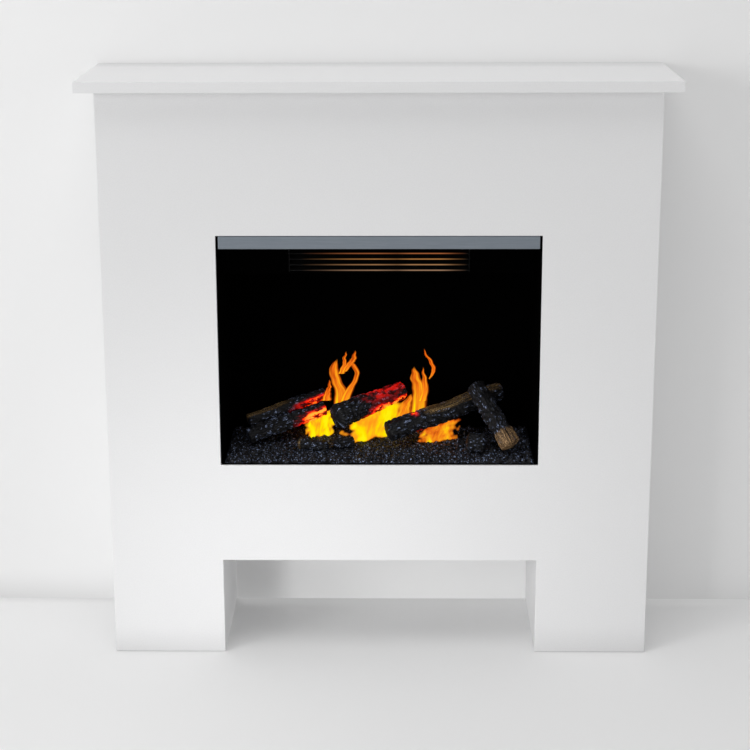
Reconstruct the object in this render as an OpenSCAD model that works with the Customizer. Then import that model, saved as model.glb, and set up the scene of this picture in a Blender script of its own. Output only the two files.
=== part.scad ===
// Free-standing electric fireplace: a white lacquered mantel around a water-mist flame engine.
// +X to the right, -Y towards the room, +Z up. The origin is on the floor under the middle.

/* [Mantel] */
// Width across the side panels
body_w = 1000; // [900:5:1250]
// Height to the top of the shelf
total_h = 1080; // [1050:5:1350]
// Depth from the front panel's face to the wall
body_d = 264; // [250:1:340]
// Thickness of the lacquered boards
board_t = 19; // [15:0.5:25]
// Thickness of the shelf
shelf_t = 19; // [15:0.5:40]
// How far the shelf stands out at the front
shelf_front = 36; // [10:1:60]
// How far the shelf stands out at each side
shelf_side = 30; // [10:1:60]
// Height of the gap between the legs
gap_h = 185; // [120:1:200]
// Width of the gap between the legs
gap_w = 585; // [480:1:720]
// Thickness of the rear panel
rear_t = 5; // [3:0.5:8]

/* [Opening] */
// Width of the opening for the flame engine
opening_w = 585; // [560:1:720]
// Height of the opening for the flame engine
opening_h = 430; // [400:1:520]
// Height of the opening's lower edge above the floor
opening_z = 372; // [365:1:400]

/* [Flame engine] */
// Gap around the engine inside the opening
fit_gap = 1; // [0.5:0.5:3]
// Thickness of the engine's sheet steel
sheet_t = 1.5; // [1:0.1:2]
// Height of the heater compartment above the opening
heater_rise = 103; // [90:1:140]
// Height of the grey strip across the top of the opening
strip_h = 23; // [15:1:30]
// Depth of the cavity behind the firebox's rear wall
cavity_d = 17; // [12:1:30]
// Width of the warm-air outlet
outlet_w = 330; // [250:1:400]

/* [Heater] */
// Radius of the cross-flow impeller
impeller_r = 25; // [20:0.5:28]
// Length of the cross-flow impeller
impeller_l = 296; // [240:1:300]
// Number of impeller blades
impeller_blades = 20; // [12:1:30]
// Radius of the heater's shaft
shaft_r = 3; // [2:0.25:4]
// Running clearance between shaft and bush
shaft_fit = 0.05; // [0.02:0.01:0.09]

/* [Mist unit] */
// Width of the water tank
tank_w = 130; // [100:1:150]
// Depth of the water tank
tank_d = 125; // [100:1:130]
// Height of the water tank
tank_h = 104; // [80:1:106]
// Wall of the sump and the tank
moulding_t = 2.5; // [2:0.1:3.5]
// Length of the mist slot
mist_slot_l = 180; // [120:1:190]
// Depth of the mist slot
mist_slot_d = 42; // [30:1:50]

/* [Hidden] */

// ---- places worked out from the sizes above ----
seat = 0.3;                        // gap between loose-fitting pieces
glide_proud = 1;                   // glides stand this far out of the leg bases
glide_t = 4;
glide_r = 12;
y_front = -(body_d - shelf_front) / 2;
y_back = (body_d + shelf_front) / 2;
y_in = y_front + board_t;          // inside face of the front panel
y_rear = y_back - rear_t;          // inside face of the rear panel
z_under = total_h - shelf_t;       // underside of the shelf
half_w = body_w / 2;
in_w = half_w - board_t;           // inside face of a side panel
leg_in = gap_w / 2 + board_t;      // hidden face of a leg's inner panel
z_rail = z_under - board_t;
z_base = gap_h + board_t;          // top of the bridge board
rail_d = 60;
batten = 20;

screw_r = 2;
screw_head_r = 4;
screw_fit = 0.05;
rear_screw_l = 16;
shelf_screw_l = 32;

eng_x = opening_w / 2 - fit_gap;   // outside of the engine's side sheets
eng_in = eng_x - sheet_t;          // inside of the engine's side sheets
eng_y0 = y_in + 3;                 // front of the cabinet below the opening
eng_y1 = y_rear - 13;              // back of the engine
lip_y = y_front + 2;               // front edge of the part that fills the opening
z_lip = opening_z + fit_gap;
z_top_in = opening_z + opening_h - fit_gap;
z_lid = opening_z + opening_h + heater_rise;
pan_flange = 12;
z_deck = opening_z - 32;           // underside of the deck plate
deck_top = z_deck + sheet_t;
fire_y1 = eng_y1 - sheet_t - cavity_d;   // front face of the firebox's rear wall is one sheet before
z_ceil = opening_z + opening_h - 80;     // underside of the firebox ceiling
heat_y = y_front + 54;             // front of the heater's front plate

// heater
fan_y = heat_y + 122;
fan_z = z_ceil + 108;
scroll_r = impeller_r + 6;
housing_x = impeller_l / 2 + 3;
wall_t = 1.5;
bush_r = 6;
duct_y = heat_y + 16;
outlet_h = 40;
blade_count = 4;
blade_pitch = 10.4;

// mist unit
sump_x0 = -eng_in + 15;
sump_y0 = -26;
sump_floor_z = z_base + 3;
well_h = 55;
chamber_h = 93;
chamber_x1 = 95;
tank_x0 = sump_x0 + moulding_t + 4.5;
tank_y0 = sump_y0 + moulding_t + 3.5;
tank_z0 = sump_floor_z + 25;
tank_cx = tank_x0 + tank_w / 2;
tank_cy = tank_y0 + tank_d / 2;
sump_y1 = tank_y0 + tank_d + 3.5 + moulding_t;
chamber_x0 = tank_x0 + tank_w + 4.5;
chamber_z1 = sump_floor_z + chamber_h;
slot_cx = (chamber_x0 + chamber_x1) / 2 + 12;
slot_x0 = -mist_slot_l / 2 - 5;
slot_y0 = 11;
mist_fan_y = sump_y0 + 60;
mist_fan_z = chamber_z1 - 28;
mist_fan_x = chamber_x1;
fan_frame = 50;
fan_depth = 15;
fan_bore_r = 22.5;
filter_x0 = mist_fan_x + fan_depth + 3;
filter_t = 10;
cap_r = 22;
cap_h = 15;
valve_r = 2.5;

// controls
panel_x0 = 185;
panel_x1 = 275;
panel_y0 = heat_y - 36;
panel_z0 = z_top_in - sheet_t - 24;
panel_z1 = z_top_in - sheet_t;
rocker_x = panel_x0 + 20;
heat_button_x = panel_x0 + 46;
flame_button_x = panel_x0 + 68;
button_y = (panel_y0 + heat_y) / 2;
button_r = 6;
rocker_tilt = 8;

// fuel bed
tray_z0 = deck_top + 0.3;
bed_z0 = opening_z - 1;
bed_t = 6;
bed_top = bed_z0 + bed_t;
tray_x = eng_in - 4;
tray_y0 = eng_y0 + 6;
tray_y1 = fire_y1 - 4;
tray_t = 2;

paint_white = "#f2f3f4";
matt_black = "#101012";
gloss_black = "#08080a";
steel = "#b9bcc0";
raw_board = "#c9b08a";

// ---- shared shapes ----

// A block given by two opposite corners.
module block(a, b) {
    translate(a) cube(b - a);
}

// The same shape on the right and mirrored on the left.
module both_sides() {
    children();
    mirror([1, 0, 0]) children();
}

// Stretches an outline drawn in Y and Z along X, from x0 to x1.
module along_x(x0, x1) {
    translate([x0, 0, 0]) rotate([90, 0, 90]) linear_extrude(x1 - x0) children();
}

// Stretches an outline drawn in X and Z along Y, from y0 to y1.
module along_y(y0, y1) {
    translate([0, y1, 0]) rotate([90, 0, 0]) linear_extrude(y1 - y0) children();
}

// A straight wall in an outline, from point a to point b.
module wall(a, b, t) {
    translate(a) rotate(atan2(b.y - a.y, b.x - a.x)) translate([0, -t / 2]) square([norm(b - a), t]);
}

// A countersunk screw standing on its tip, with its head at the top, and the hole that it fills.
module screw(length) {
    cylinder(h = length, r = screw_r);
    translate([0, 0, length - 2]) cylinder(h = 2, r1 = screw_r, r2 = screw_head_r);
}

module screw_hole(length) {
    translate([0, 0, -0.5]) cylinder(h = length + 1, r = screw_r + screw_fit);
    translate([0, 0, length - 2.1])
        cylinder(h = 2.2, r1 = screw_r + screw_fit, r2 = screw_head_r + screw_fit + 0.1);
}

// ---- mantel ----

shelf_screw_x = [-in_w + 40, 0, in_w - 40];
rail_mid_y = [y_in + rail_d / 2, y_rear - rail_d / 2];

module shelf_screw_places() {
    for (x = shelf_screw_x, y = rail_mid_y)
        translate([x, y, z_rail + shelf_screw_l]) mirror([0, 0, 1]) children();
}

module mantel_shelf() {
    color(paint_white) difference() {
        block([-half_w - shelf_side, y_front - shelf_front, z_under],
              [half_w + shelf_side, y_back, total_h]);
        shelf_screw_places() screw_hole(shelf_screw_l);
    }
}

module front_panel() {
    color(paint_white) difference() {
        block([-half_w, y_front, glide_proud], [half_w, y_in, z_under]);
        block([-opening_w / 2, y_front - 1, opening_z],
              [opening_w / 2, y_in + 1, opening_z + opening_h]);
        block([-gap_w / 2, y_front - 1, 0], [gap_w / 2, y_in + 1, gap_h]);
    }
}

module side_panel() {
    color(paint_white) block([in_w, y_in, glide_proud], [half_w, y_back, z_under]);
}

module leg_inner_panel() {
    color(paint_white) block([gap_w / 2, y_in, glide_proud], [leg_in, y_back, gap_h]);
}

engine_ear_y = [eng_y0 + 32, eng_y1 - 52];
ear_d = 30;
ear_w = 20;

module engine_hold_down_places() {
    for (x = [-eng_x - ear_w / 2, eng_x + ear_w / 2], y = engine_ear_y)
        translate([x, y + ear_d / 2, z_base + sheet_t - rear_screw_l]) children();
}

module bridge_board() {
    color(paint_white) difference() {
        block([-in_w, y_in, gap_h], [in_w, y_rear, z_base]);
        engine_hold_down_places() screw_hole(rear_screw_l);
        rear_screw_places() screw_hole(rear_screw_l);
    }
}

module top_rails() {
    color(raw_board) difference() {
        for (y = [y_in, y_rear - rail_d])
            block([-in_w, y, z_rail], [in_w, y + rail_d, z_under]);
        shelf_screw_places() screw_hole(shelf_screw_l);
        rear_screw_places() screw_hole(rear_screw_l);
        bracket_screw_places() screw_hole(rear_screw_l);
    }
}

glide_places = [for (x = [leg_in + 35, in_w - 35], y = [y_in + 30, y_rear - 30]) [x, y]];
glide_nail_l = 14;

module leg_base_boards() {
    color(raw_board) both_sides() difference() {
        block([leg_in, y_in, glide_proud], [in_w, y_rear, glide_proud + board_t]);
        for (p = glide_places) translate(p) {
            cylinder(h = glide_t + 0.1, r = glide_r + 0.2);
            cylinder(h = glide_nail_l, r = 1.55);
        }
    }
}

module glides() {
    color("#2b2b2d") both_sides() for (p = glide_places) translate(p) {
        cylinder(h = glide_t, r = glide_r);
        cylinder(h = glide_nail_l - 0.5, r = 1.5);
    }
}

module corner_battens() {
    color(raw_board) difference() {
        both_sides() for (y = [y_in, y_rear - batten])
            block([in_w - batten, y, z_base], [in_w, y + batten, z_rail]);
        rear_screw_places() screw_hole(rear_screw_l);
    }
}

// Screws through the rear panel: up each side batten, and along the bridge board and the rear rail.
rear_side_z = [for (i = [0:3]) z_base + 60 + i * (z_rail - z_base - 120) / 3];
rear_row_x = [for (i = [-2:2]) i * (in_w - 60) / 2];

module rear_screw_places() {
    for (x = [-in_w + batten / 2, in_w - batten / 2], z = rear_side_z)
        translate([x, y_back - rear_screw_l, z]) rotate([-90, 0, 0]) children();
    for (x = rear_row_x, z = [gap_h + board_t / 2, z_rail + board_t / 2])
        translate([x, y_back - rear_screw_l, z]) rotate([-90, 0, 0]) children();
}

bracket_x = body_w * 0.35;
bracket_w = 40;
bracket_h = 45;
bracket_hole_r = 3.5;
bracket_hole_z = z_rail - 28;

module bracket_screw_places() {
    for (s = [-1, 1], dx = [-10, 10])
        translate([s * bracket_x + dx, y_rear - 28, z_rail - sheet_t + rear_screw_l])
            mirror([0, 0, 1]) children();
}

module wall_brackets() {
    color(steel) for (s = [-1, 1]) translate([s * bracket_x, 0, 0]) difference() {
        union() {
            block([-bracket_w / 2, y_rear - 40, z_rail - sheet_t], [bracket_w / 2, y_rear, z_rail]);
            block([-bracket_w / 2, y_rear - sheet_t, z_rail - bracket_h],
                  [bracket_w / 2, y_rear, z_rail - sheet_t]);
        }
        translate([0, y_back, bracket_hole_z]) rotate([90, 0, 0])
            cylinder(h = 30, r = bracket_hole_r);
        for (dx = [-10, 10]) translate([dx, y_rear - 28, z_rail - sheet_t + rear_screw_l])
            mirror([0, 0, 1]) screw_hole(rear_screw_l);
    }
}

inlet_x = 230;
inlet_z = z_base + 96;
inlet_w = 30;
inlet_h = 24;
rear_vent_top_z = z_lid + 14;
low_vent_z = z_base + 40;

// Rows of air slots: columns of 50 mm slots, 6 mm high, drawn in X and Z.
module vent_rows(x0, z0, cols, rows) {
    for (i = [0:cols - 1], j = [0:rows - 1])
        translate([x0 + i * 64, z0 + j * 14]) square([50, 6]);
}

module rear_panel() {
    gap = 0.5;
    color("#e4e2de") difference() {
        along_y(y_rear, y_back) difference() {
            translate([-in_w + gap, glide_proud + gap])
                square([2 * (in_w - gap), z_under - glide_proud - 2 * gap]);
            translate([-leg_in - gap, 0]) square([2 * (leg_in + gap), gap_h + gap]);
            translate([inlet_x - 40, inlet_z - 28]) square([80, 56]);
            vent_rows(-153, rear_vent_top_z, 5, 6);
            vent_rows(-250, low_vent_z, 5, 4);
            for (s = [-1, 1]) translate([s * bracket_x, bracket_hole_z])
                circle(r = bracket_hole_r);
        }
        rear_screw_places() screw_hole(rear_screw_l);
    }
}

module fixing_screws() {
    color(steel) {
        rear_screw_places() screw(rear_screw_l);
        bracket_screw_places() screw(rear_screw_l);
        engine_hold_down_places() screw(rear_screw_l);
    }
}

module shelf_screws() {
    color(steel) shelf_screw_places() screw(shelf_screw_l);
}

// ---- engine casing ----

module engine_base_pan() {
    color(steel) difference() {
        union() {
            block([-eng_x, eng_y0, z_base], [eng_x, eng_y1, z_base + sheet_t]);
            both_sides() {
                block([eng_in - sheet_t, eng_y0 + sheet_t, z_base],
                      [eng_in, eng_y1 - sheet_t, z_base + pan_flange]);
                for (y = engine_ear_y)
                    block([eng_x - 1, y, z_base], [eng_x + ear_w, y + ear_d, z_base + sheet_t]);
            }
        }
        engine_hold_down_places() screw_hole(rear_screw_l);
    }
}

module engine_front_sheet() {
    color(steel)
        block([-eng_in, eng_y0, z_base + sheet_t], [eng_in, eng_y0 + sheet_t, opening_z]);
}

module engine_side() {
    color(matt_black) along_x(eng_in, eng_x) polygon([
        [eng_y0, z_base + sheet_t], [eng_y1, z_base + sheet_t], [eng_y1, z_lid],
        [heat_y, z_lid], [heat_y, z_top_in], [lip_y, z_top_in], [lip_y, z_lip], [eng_y0, z_lip]]);
}

module engine_back() {
    color(steel) along_y(eng_y1 - sheet_t, eng_y1) difference() {
        translate([-eng_in, z_base + sheet_t]) square([2 * eng_in, z_lid - z_base - sheet_t]);
        vent_rows(-250, low_vent_z, 5, 4);
        vent_rows(-153, z_lid - 60, 5, 3);
        translate([inlet_x - inlet_w / 2 - 0.1, inlet_z - inlet_h / 2 - 0.1])
            square([inlet_w + 0.2, inlet_h + 0.2]);
    }
}

module engine_lid() {
    color(steel) difference() {
        block([-eng_in, heat_y + sheet_t, z_lid - sheet_t], [eng_in, eng_y1 - sheet_t, z_lid]);
        for (i = [-4:4]) block([i * 30 - 3, fan_y - 30, z_lid - sheet_t - 1],
                               [i * 30 + 3, fan_y + 30, z_lid + 1]);
    }
}

module firebox_back() {
    color(matt_black)
        block([-eng_in + seat, fire_y1, deck_top], [eng_in - seat, fire_y1 + sheet_t, z_ceil]);
}

module firebox_ceiling() {
    color(matt_black) block([-eng_in + seat, heat_y + sheet_t, z_ceil],
                            [eng_in - seat, fire_y1 + sheet_t, z_ceil + sheet_t]);
}

module fascia_strip() {
    color("#7f868e") union() {
        block([-eng_in + 2, y_front + 1, z_top_in - strip_h],
              [eng_in - 2, y_front + 1 + sheet_t, z_top_in]);
        block([-eng_in + 2, y_front + 1, z_top_in - sheet_t], [eng_in - 2, heat_y, z_top_in]);
    }
}

module heater_front_plate() {
    color(matt_black) difference() {
        block([-eng_in + seat, heat_y, z_ceil], [eng_in - seat, heat_y + sheet_t, z_lid]);
        block([-outlet_w / 2, heat_y - 1, z_ceil + 3],
              [outlet_w / 2, heat_y + 3, z_ceil + 3 + outlet_h + 3]);
    }
}

// Four slats between two end cheeks, fitted into the window of the heater's front plate.
module outlet_grille() {
    cheek = 1.5;
    x1 = outlet_w / 2 - seat;
    z0 = z_ceil + 3 + seat;
    z1 = z_ceil + 6 + outlet_h - seat;
    color(gloss_black) {
        for (x = [-x1, x1 - cheek])
            block([x, heat_y - 3, z0], [x + cheek, duct_y - seat, z1]);
        for (i = [0:blade_count - 1])
            translate([0, heat_y, z_ceil + 6 + i * blade_pitch]) along_x(-x1, x1) {
                circle(r = 1.6);
                wall([0, 0], [12, 6], 1.4);
            }
    }
}

tank_port_gap = 3;
loom_x = [240, 270];

module deck_plate() {
    x = eng_in - seat;
    color(matt_black) difference() {
        union() {
            block([-x, lip_y, z_lip], [x, eng_y0 + 2 * sheet_t, z_lip + sheet_t]);
            block([-x, eng_y0 + sheet_t, z_deck], [x, eng_y0 + 2 * sheet_t, z_lip + sheet_t]);
            block([-x, eng_y0 + sheet_t, z_deck], [x, eng_y1 - sheet_t, deck_top]);
        }
        block([tank_x0 - tank_port_gap, tank_y0 - tank_port_gap, z_deck - 1],
              [tank_x0 + tank_w + tank_port_gap, tank_y0 + tank_d + tank_port_gap, deck_top + 1]);
        block([slot_x0 - 3, slot_y0 - 3, z_deck - 1],
              [slot_x0 + mist_slot_l + 3, slot_y0 + mist_slot_d + 3, deck_top + 1]);
        block([filter_x0 - 2, mist_fan_y - fan_frame / 2 + 1, z_deck - 1],
              [filter_x0 + filter_t + 2, mist_fan_y + fan_frame / 2 - 1, deck_top + 1]);
        block([loom_x[0], fire_y1 + sheet_t + 2, z_deck - 1],
              [loom_x[1], eng_y1 - sheet_t - 2, deck_top + 1]);
        for (x = lamp_xs) translate([x, lamp_y, z_deck - 1]) cylinder(h = 4, r = 12);
    }
}

// ---- fan heater ----

// Outline of the warm-air duct's end plates in Y and Z.
function duct_outline() = [
    [duct_y, z_ceil + sheet_t], [duct_y + 43, fan_z - 57], [fan_y, fan_z - scroll_r - 4],
    [fan_y + scroll_r + 4, fan_z - 16], [fan_y + scroll_r + 4, fan_z + 16],
    [fan_y + 18, fan_z + scroll_r + 4], [fan_y - 18, fan_z + scroll_r + 4],
    [fan_y - 34, fan_z - 2], [duct_y + 43, fan_z - 14], [duct_y, z_ceil + 10 + outlet_h]];

module heater_housing() {
    low = [[duct_y, z_ceil + 3.5], [duct_y + 43, fan_z - 54], [fan_y, fan_z - scroll_r - wall_t / 2]];
    high = [[duct_y, z_ceil + 7 + outlet_h], [duct_y + 43, fan_z - 18], [fan_y - impeller_r - 3, fan_z - 6]];
    color("#a9adb0") {
        along_x(-housing_x, housing_x) {
            for (i = [0:1]) {
                wall(low[i], low[i + 1], wall_t);
                wall(high[i], high[i + 1], wall_t);
            }
            for (p = [low[1], high[1]]) translate(p) circle(r = wall_t / 2);
            difference() {
                translate([fan_y, fan_z]) circle(r = scroll_r + wall_t);
                translate([fan_y, fan_z]) circle(r = scroll_r);
                translate([fan_y - 60, fan_z - 60]) square([60, 120]);
                translate([fan_y, fan_z]) rotate(50) square([60, 60]);
            }
        }
        for (s = [-1, 1]) difference() {
            along_x(min(s * housing_x, s * (housing_x + wall_t)),
                    max(s * housing_x, s * (housing_x + wall_t))) polygon(duct_outline());
            translate([s * housing_x - 5, fan_y, fan_z]) rotate([0, 90, 0])
                cylinder(h = 10, r = bush_r + 1);
        }
        for (x = [-100, 100]) block([x - 10, fan_y - 1, z_ceil + sheet_t],
                                    [x + 10, fan_y + 1, fan_z - scroll_r - wall_t / 2]);
    }
}

module heater_impeller() {
    color("#c2c5c8") translate([-impeller_l / 2, fan_y, fan_z]) rotate([0, 90, 0]) {
        difference() {
            union() {
                for (x = [0, impeller_l / 2 - 1, impeller_l - 2])
                    translate([0, 0, x]) cylinder(h = 2, r = impeller_r);
                for (i = [0:impeller_blades - 1]) rotate(i * 360 / impeller_blades)
                    translate([impeller_r - 8, 0, 0]) rotate(25) cube([7, 0.8, impeller_l]);
            }
            translate([0, 0, -1]) cylinder(h = impeller_l + 2, r = shaft_r);
        }
    }
}

motor_x0 = housing_x + 15;
motor_w = 22;
rotor_r = 12.5;

module heater_shaft() {
    x0 = -housing_x - 22;
    color(steel) translate([x0, fan_y, fan_z]) rotate([0, 90, 0]) {
        cylinder(h = motor_x0 + motor_w + 18 - x0, r = shaft_r);
        translate([0, 0, motor_x0 - x0]) cylinder(h = motor_w, r = rotor_r);
    }
}

module heater_motor() {
    color("#6d7075") difference() {
        union() {
            block([motor_x0, fan_y - 26, fan_z - 40], [motor_x0 + motor_w, fan_y + 26, fan_z + 24]);
            block([motor_x0 - 6, fan_y - 16, fan_z - 40],
                  [motor_x0 + motor_w + 6, fan_y + 16, fan_z - 18]);
            for (x = [motor_x0 - 9, motor_x0 + motor_w + 7])
                block([x, fan_y - 10, z_ceil + sheet_t], [x + 2, fan_y + 10, fan_z + 10]);
            block([motor_x0 - 9, fan_y - 10, z_ceil + sheet_t],
                  [motor_x0 + motor_w + 9, fan_y + 10, z_ceil + sheet_t + 2]);
            block([motor_x0 - 9, fan_y - 10, fan_z - 30],
                  [motor_x0 + motor_w + 9, fan_y + 10, fan_z - 20]);
        }
        translate([motor_x0 - 0.5, fan_y, fan_z]) rotate([0, 90, 0])
            cylinder(h = motor_w + 1, r = rotor_r + 0.5);
        translate([motor_x0 - 12, fan_y, fan_z]) rotate([0, 90, 0])
            cylinder(h = motor_w + 24, r = shaft_r + shaft_fit);
    }
}

module heater_bearing() {
    x0 = -housing_x - 18;
    color("#c98f3c") difference() {
        union() {
            translate([x0, fan_y, fan_z]) rotate([0, 90, 0]) cylinder(h = 10, r = bush_r);
            block([x0 + 3, fan_y - 8, z_ceil + sheet_t], [x0 + 7, fan_y + 8, fan_z]);
        }
        translate([x0 - 1, fan_y, fan_z]) rotate([0, 90, 0])
            cylinder(h = 12, r = shaft_r + shaft_fit);
    }
}

module heating_element() {
    y0 = duct_y + 22;
    z0 = fan_z - 61;
    color("#8d8f92") union() {
        block([-housing_x, y0 + 3, z0 + 5], [housing_x, y0 + 9, z0 + 12]);
        for (i = [-13:13])
            translate([i * 10, 0, 0]) block([-0.5, y0, z0], [0.5, y0 + 12, z0 + 17]);
    }
}

// ---- mist unit ----

module sump() {
    z0 = z_base + sheet_t;
    t = moulding_t;
    color("#3a4046") difference() {
        union() {
            block([sump_x0, sump_y0, z0], [chamber_x0, sump_y1, sump_floor_z + well_h]);
            block([chamber_x0 - t, sump_y0, z0], [chamber_x1, sump_y1, chamber_z1]);
        }
        block([sump_x0 + t, sump_y0 + t, sump_floor_z],
              [chamber_x0 - t, sump_y1 - t, sump_floor_z + well_h + 1]);
        block([chamber_x0, sump_y0 + t, sump_floor_z],
              [chamber_x1 - t, sump_y1 - t, chamber_z1 + 1]);
        // Water flows from the tank's well to the mist chamber here.
        block([chamber_x0 - t - 1, tank_cy - 20, sump_floor_z],
              [chamber_x0 + 1, tank_cy + 20, sump_floor_z + 18]);
        translate([chamber_x1 - t - 1, mist_fan_y, mist_fan_z]) rotate([0, 90, 0])
            cylinder(h = t + 2, r = 18);
    }
    // Four posts carry the tank, and a pin in the middle holds its valve open.
    color("#3a4046") {
        for (sx = [-1, 1], sy = [-1, 1])
            translate([tank_cx + sx * (tank_w / 2 - 9), tank_cy + sy * (tank_d / 2 - 9), sump_floor_z])
                cylinder(h = tank_z0 - sump_floor_z - 0.05, r = 5);
        translate([tank_cx, tank_cy, sump_floor_z])
            cylinder(h = tank_z0 - cap_h - sump_floor_z - 1.3, r = 4);
    }
}

module mist_transducer() {
    color("#d8d2c4") translate([slot_cx - 40, slot_y0 + 20, sump_floor_z]) {
        difference() {
            cylinder(h = 12, r = 22);
            translate([0, 0, 9]) cylinder(h = 4, r = 10);
        }
        translate([0, 0, 8]) cylinder(h = 1.2, r = 10);
    }
}

module mist_nozzle() {
    t = moulding_t;
    y1 = slot_y0 + mist_slot_d;
    x1 = slot_x0 + mist_slot_l;
    color("#24272b") difference() {
        union() {
            block([chamber_x0 - t, sump_y0, chamber_z1], [chamber_x1, sump_y1, chamber_z1 + t]);
            block([slot_x0, slot_y0, chamber_z1], [x1, y1, z_deck - 1]);
        }
        block([slot_x0 + t, slot_y0 + t, chamber_z1 - 1], [x1 - t, y1 - t, z_deck]);
    }
}

module mist_fan_housing() {
    h = fan_frame / 2;
    x1 = mist_fan_x + fan_depth;
    color("#202226") difference() {
        union() {
            block([mist_fan_x, mist_fan_y - h, mist_fan_z - h], [x1, mist_fan_y + h, mist_fan_z + h]);
            block([mist_fan_x, mist_fan_y - h, z_base + sheet_t],
                  [mist_fan_x + 3, mist_fan_y + h, mist_fan_z - h]);
            // Guide channel for the air filter.
            block([x1, mist_fan_y - h, mist_fan_z - h], [filter_x0 + filter_t + 3, mist_fan_y + h, mist_fan_z - h + 2]);
            for (s = [-1, 1])
                block([x1, mist_fan_y + s * (h - 1) - 1, mist_fan_z - h],
                      [filter_x0 + filter_t + 3, mist_fan_y + s * (h - 1) + 1, mist_fan_z + h]);
        }
        translate([mist_fan_x - 1, mist_fan_y, mist_fan_z]) rotate([0, 90, 0]) difference() {
            cylinder(h = fan_depth + 2, r = fan_bore_r);
            translate([0, 0, 0]) cylinder(h = 4, r = 9);
            for (a = [0, 120, 240]) rotate(a) translate([0, -1.5, 0]) cube([fan_bore_r + 1, 3, 4]);
        }
        translate([mist_fan_x - 1, mist_fan_y, mist_fan_z]) rotate([0, 90, 0])
            cylinder(h = 8, r = 1.5 + shaft_fit);
    }
}

module mist_fan_rotor() {
    color("#33363b") translate([mist_fan_x + 4, mist_fan_y, mist_fan_z]) rotate([0, 90, 0]) {
        cylinder(h = 10, r = 10);
        translate([0, 0, -3.5]) cylinder(h = 4, r = 1.5);
        for (i = [0:6]) rotate(i * 360 / 7)
            translate([8, -0.6, 1]) rotate([28, 0, 0]) cube([13, 1.2, 8]);
    }
}

module air_filter() {
    h = fan_frame / 2 - 3;
    x1 = filter_x0 + filter_t;
    z0 = mist_fan_z - fan_frame / 2 + 2 + seat;
    color("#5d6a70") difference() {
        union() {
            block([filter_x0, mist_fan_y - h, z0], [x1, mist_fan_y + h, mist_fan_z + fan_frame / 2]);
            block([filter_x0 + 3, mist_fan_y - 10, mist_fan_z + fan_frame / 2],
                  [x1 - 3, mist_fan_y + 10, z_deck]);
        }
        for (i = [-2:2], j = [-2:2])
            block([filter_x0 - 1, mist_fan_y + i * 8 - 2.5, mist_fan_z + j * 8 - 2.5],
                  [x1 + 1, mist_fan_y + i * 8 + 2.5, mist_fan_z + j * 8 + 2.5]);
    }
}

module water_tank() {
    t = moulding_t;
    z1 = tank_z0 + tank_h;
    color("#9fb4bd") difference() {
        block([tank_x0, tank_y0, tank_z0], [tank_x0 + tank_w, tank_y0 + tank_d, z1]);
        block([tank_x0 + t, tank_y0 + t, tank_z0 + t],
              [tank_x0 + tank_w - t, tank_y0 + tank_d - t, z1 - 20]);
        // Finger recess with a bar across it.
        difference() {
            block([tank_cx - 40, tank_cy - 22, z1 - 17], [tank_cx + 40, tank_cy + 22, z1 + 1]);
            block([tank_cx - 41, tank_cy - 6, z1 - 7], [tank_cx + 41, tank_cy + 6, z1]);
        }
        translate([tank_cx, tank_cy, tank_z0 - 1]) cylinder(h = t + 2, r = cap_r - 8);
    }
}

module tank_cap() {
    color("#30353a") translate([tank_cx, tank_cy, tank_z0 - cap_h]) difference() {
        union() {
            cylinder(h = cap_h - 0.05, r = cap_r);
            translate([0, 0, cap_h - 0.1]) cylinder(h = 4, r = cap_r - 8.5);
        }
        translate([0, 0, -1]) cylinder(h = cap_h + 6, r = valve_r + shaft_fit);
        translate([0, 0, 4]) cylinder(h = cap_h, r = 8);
        for (i = [0:11]) rotate(i * 30) translate([cap_r, 0, -1]) cylinder(h = cap_h + 0.9, r = 1.2);
    }
}

module tank_valve() {
    color("#c4c7ca") translate([tank_cx, tank_cy, tank_z0 - cap_h]) {
        translate([0, 0, -0.8]) cylinder(h = 11, r = valve_r);
        translate([0, 0, 5.2]) cylinder(h = 2, r = 6.5);
    }
}

// ---- lights and electrics ----

lamp_xs = [-90, -30, 30, 90];
lamp_y = -55;
lamp_rail_z = z_deck - 40;

module lamp_rail() {
    color(steel) difference() {
        union() {
            block([-125, lamp_y - 15, lamp_rail_z], [125, lamp_y + 15, lamp_rail_z + sheet_t]);
            both_sides() block([125 - sheet_t, lamp_y - 15, lamp_rail_z],
                               [125, lamp_y + 15, z_deck]);
            for (x = lamp_xs) block([x - 8, lamp_y - 8, lamp_rail_z], [x + 8, lamp_y + 8, lamp_rail_z + 12]);
        }
        for (x = lamp_xs, dx = [-2, 2])
            translate([x + dx, lamp_y, lamp_rail_z + 5]) cylinder(h = 8, r = 0.6);
    }
}

module lamps() {
    color("#e8d9b0") for (x = lamp_xs) translate([x, lamp_y, lamp_rail_z + 12]) {
        for (dx = [-2, 2]) translate([dx, 0, -5]) cylinder(h = 7, r = 0.5);
        translate([0, 0, 0.5]) cylinder(h = 20, r = 5);
        translate([0, 0, 20.5]) sphere(r = 5);
    }
}

module transformer() {
    x = 150;
    y = -62;
    z = z_base + sheet_t;
    color("#7a6a4a") {
        block([x, y, z + 2], [x + 70, y + 24, z + 58]);
        block([x, y + 34, z + 2], [x + 70, y + 58, z + 58]);
        block([x, y + 24, z + 2], [x + 14, y + 34, z + 58]);
        block([x + 56, y + 24, z + 2], [x + 70, y + 34, z + 58]);
        block([x + 16, y + 24, z + 6], [x + 54, y + 34, z + 54]);
        block([x - 10, y + 6, z], [x + 80, y + 52, z + 2]);
    }
}

board_z = z_base + 12;

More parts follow.
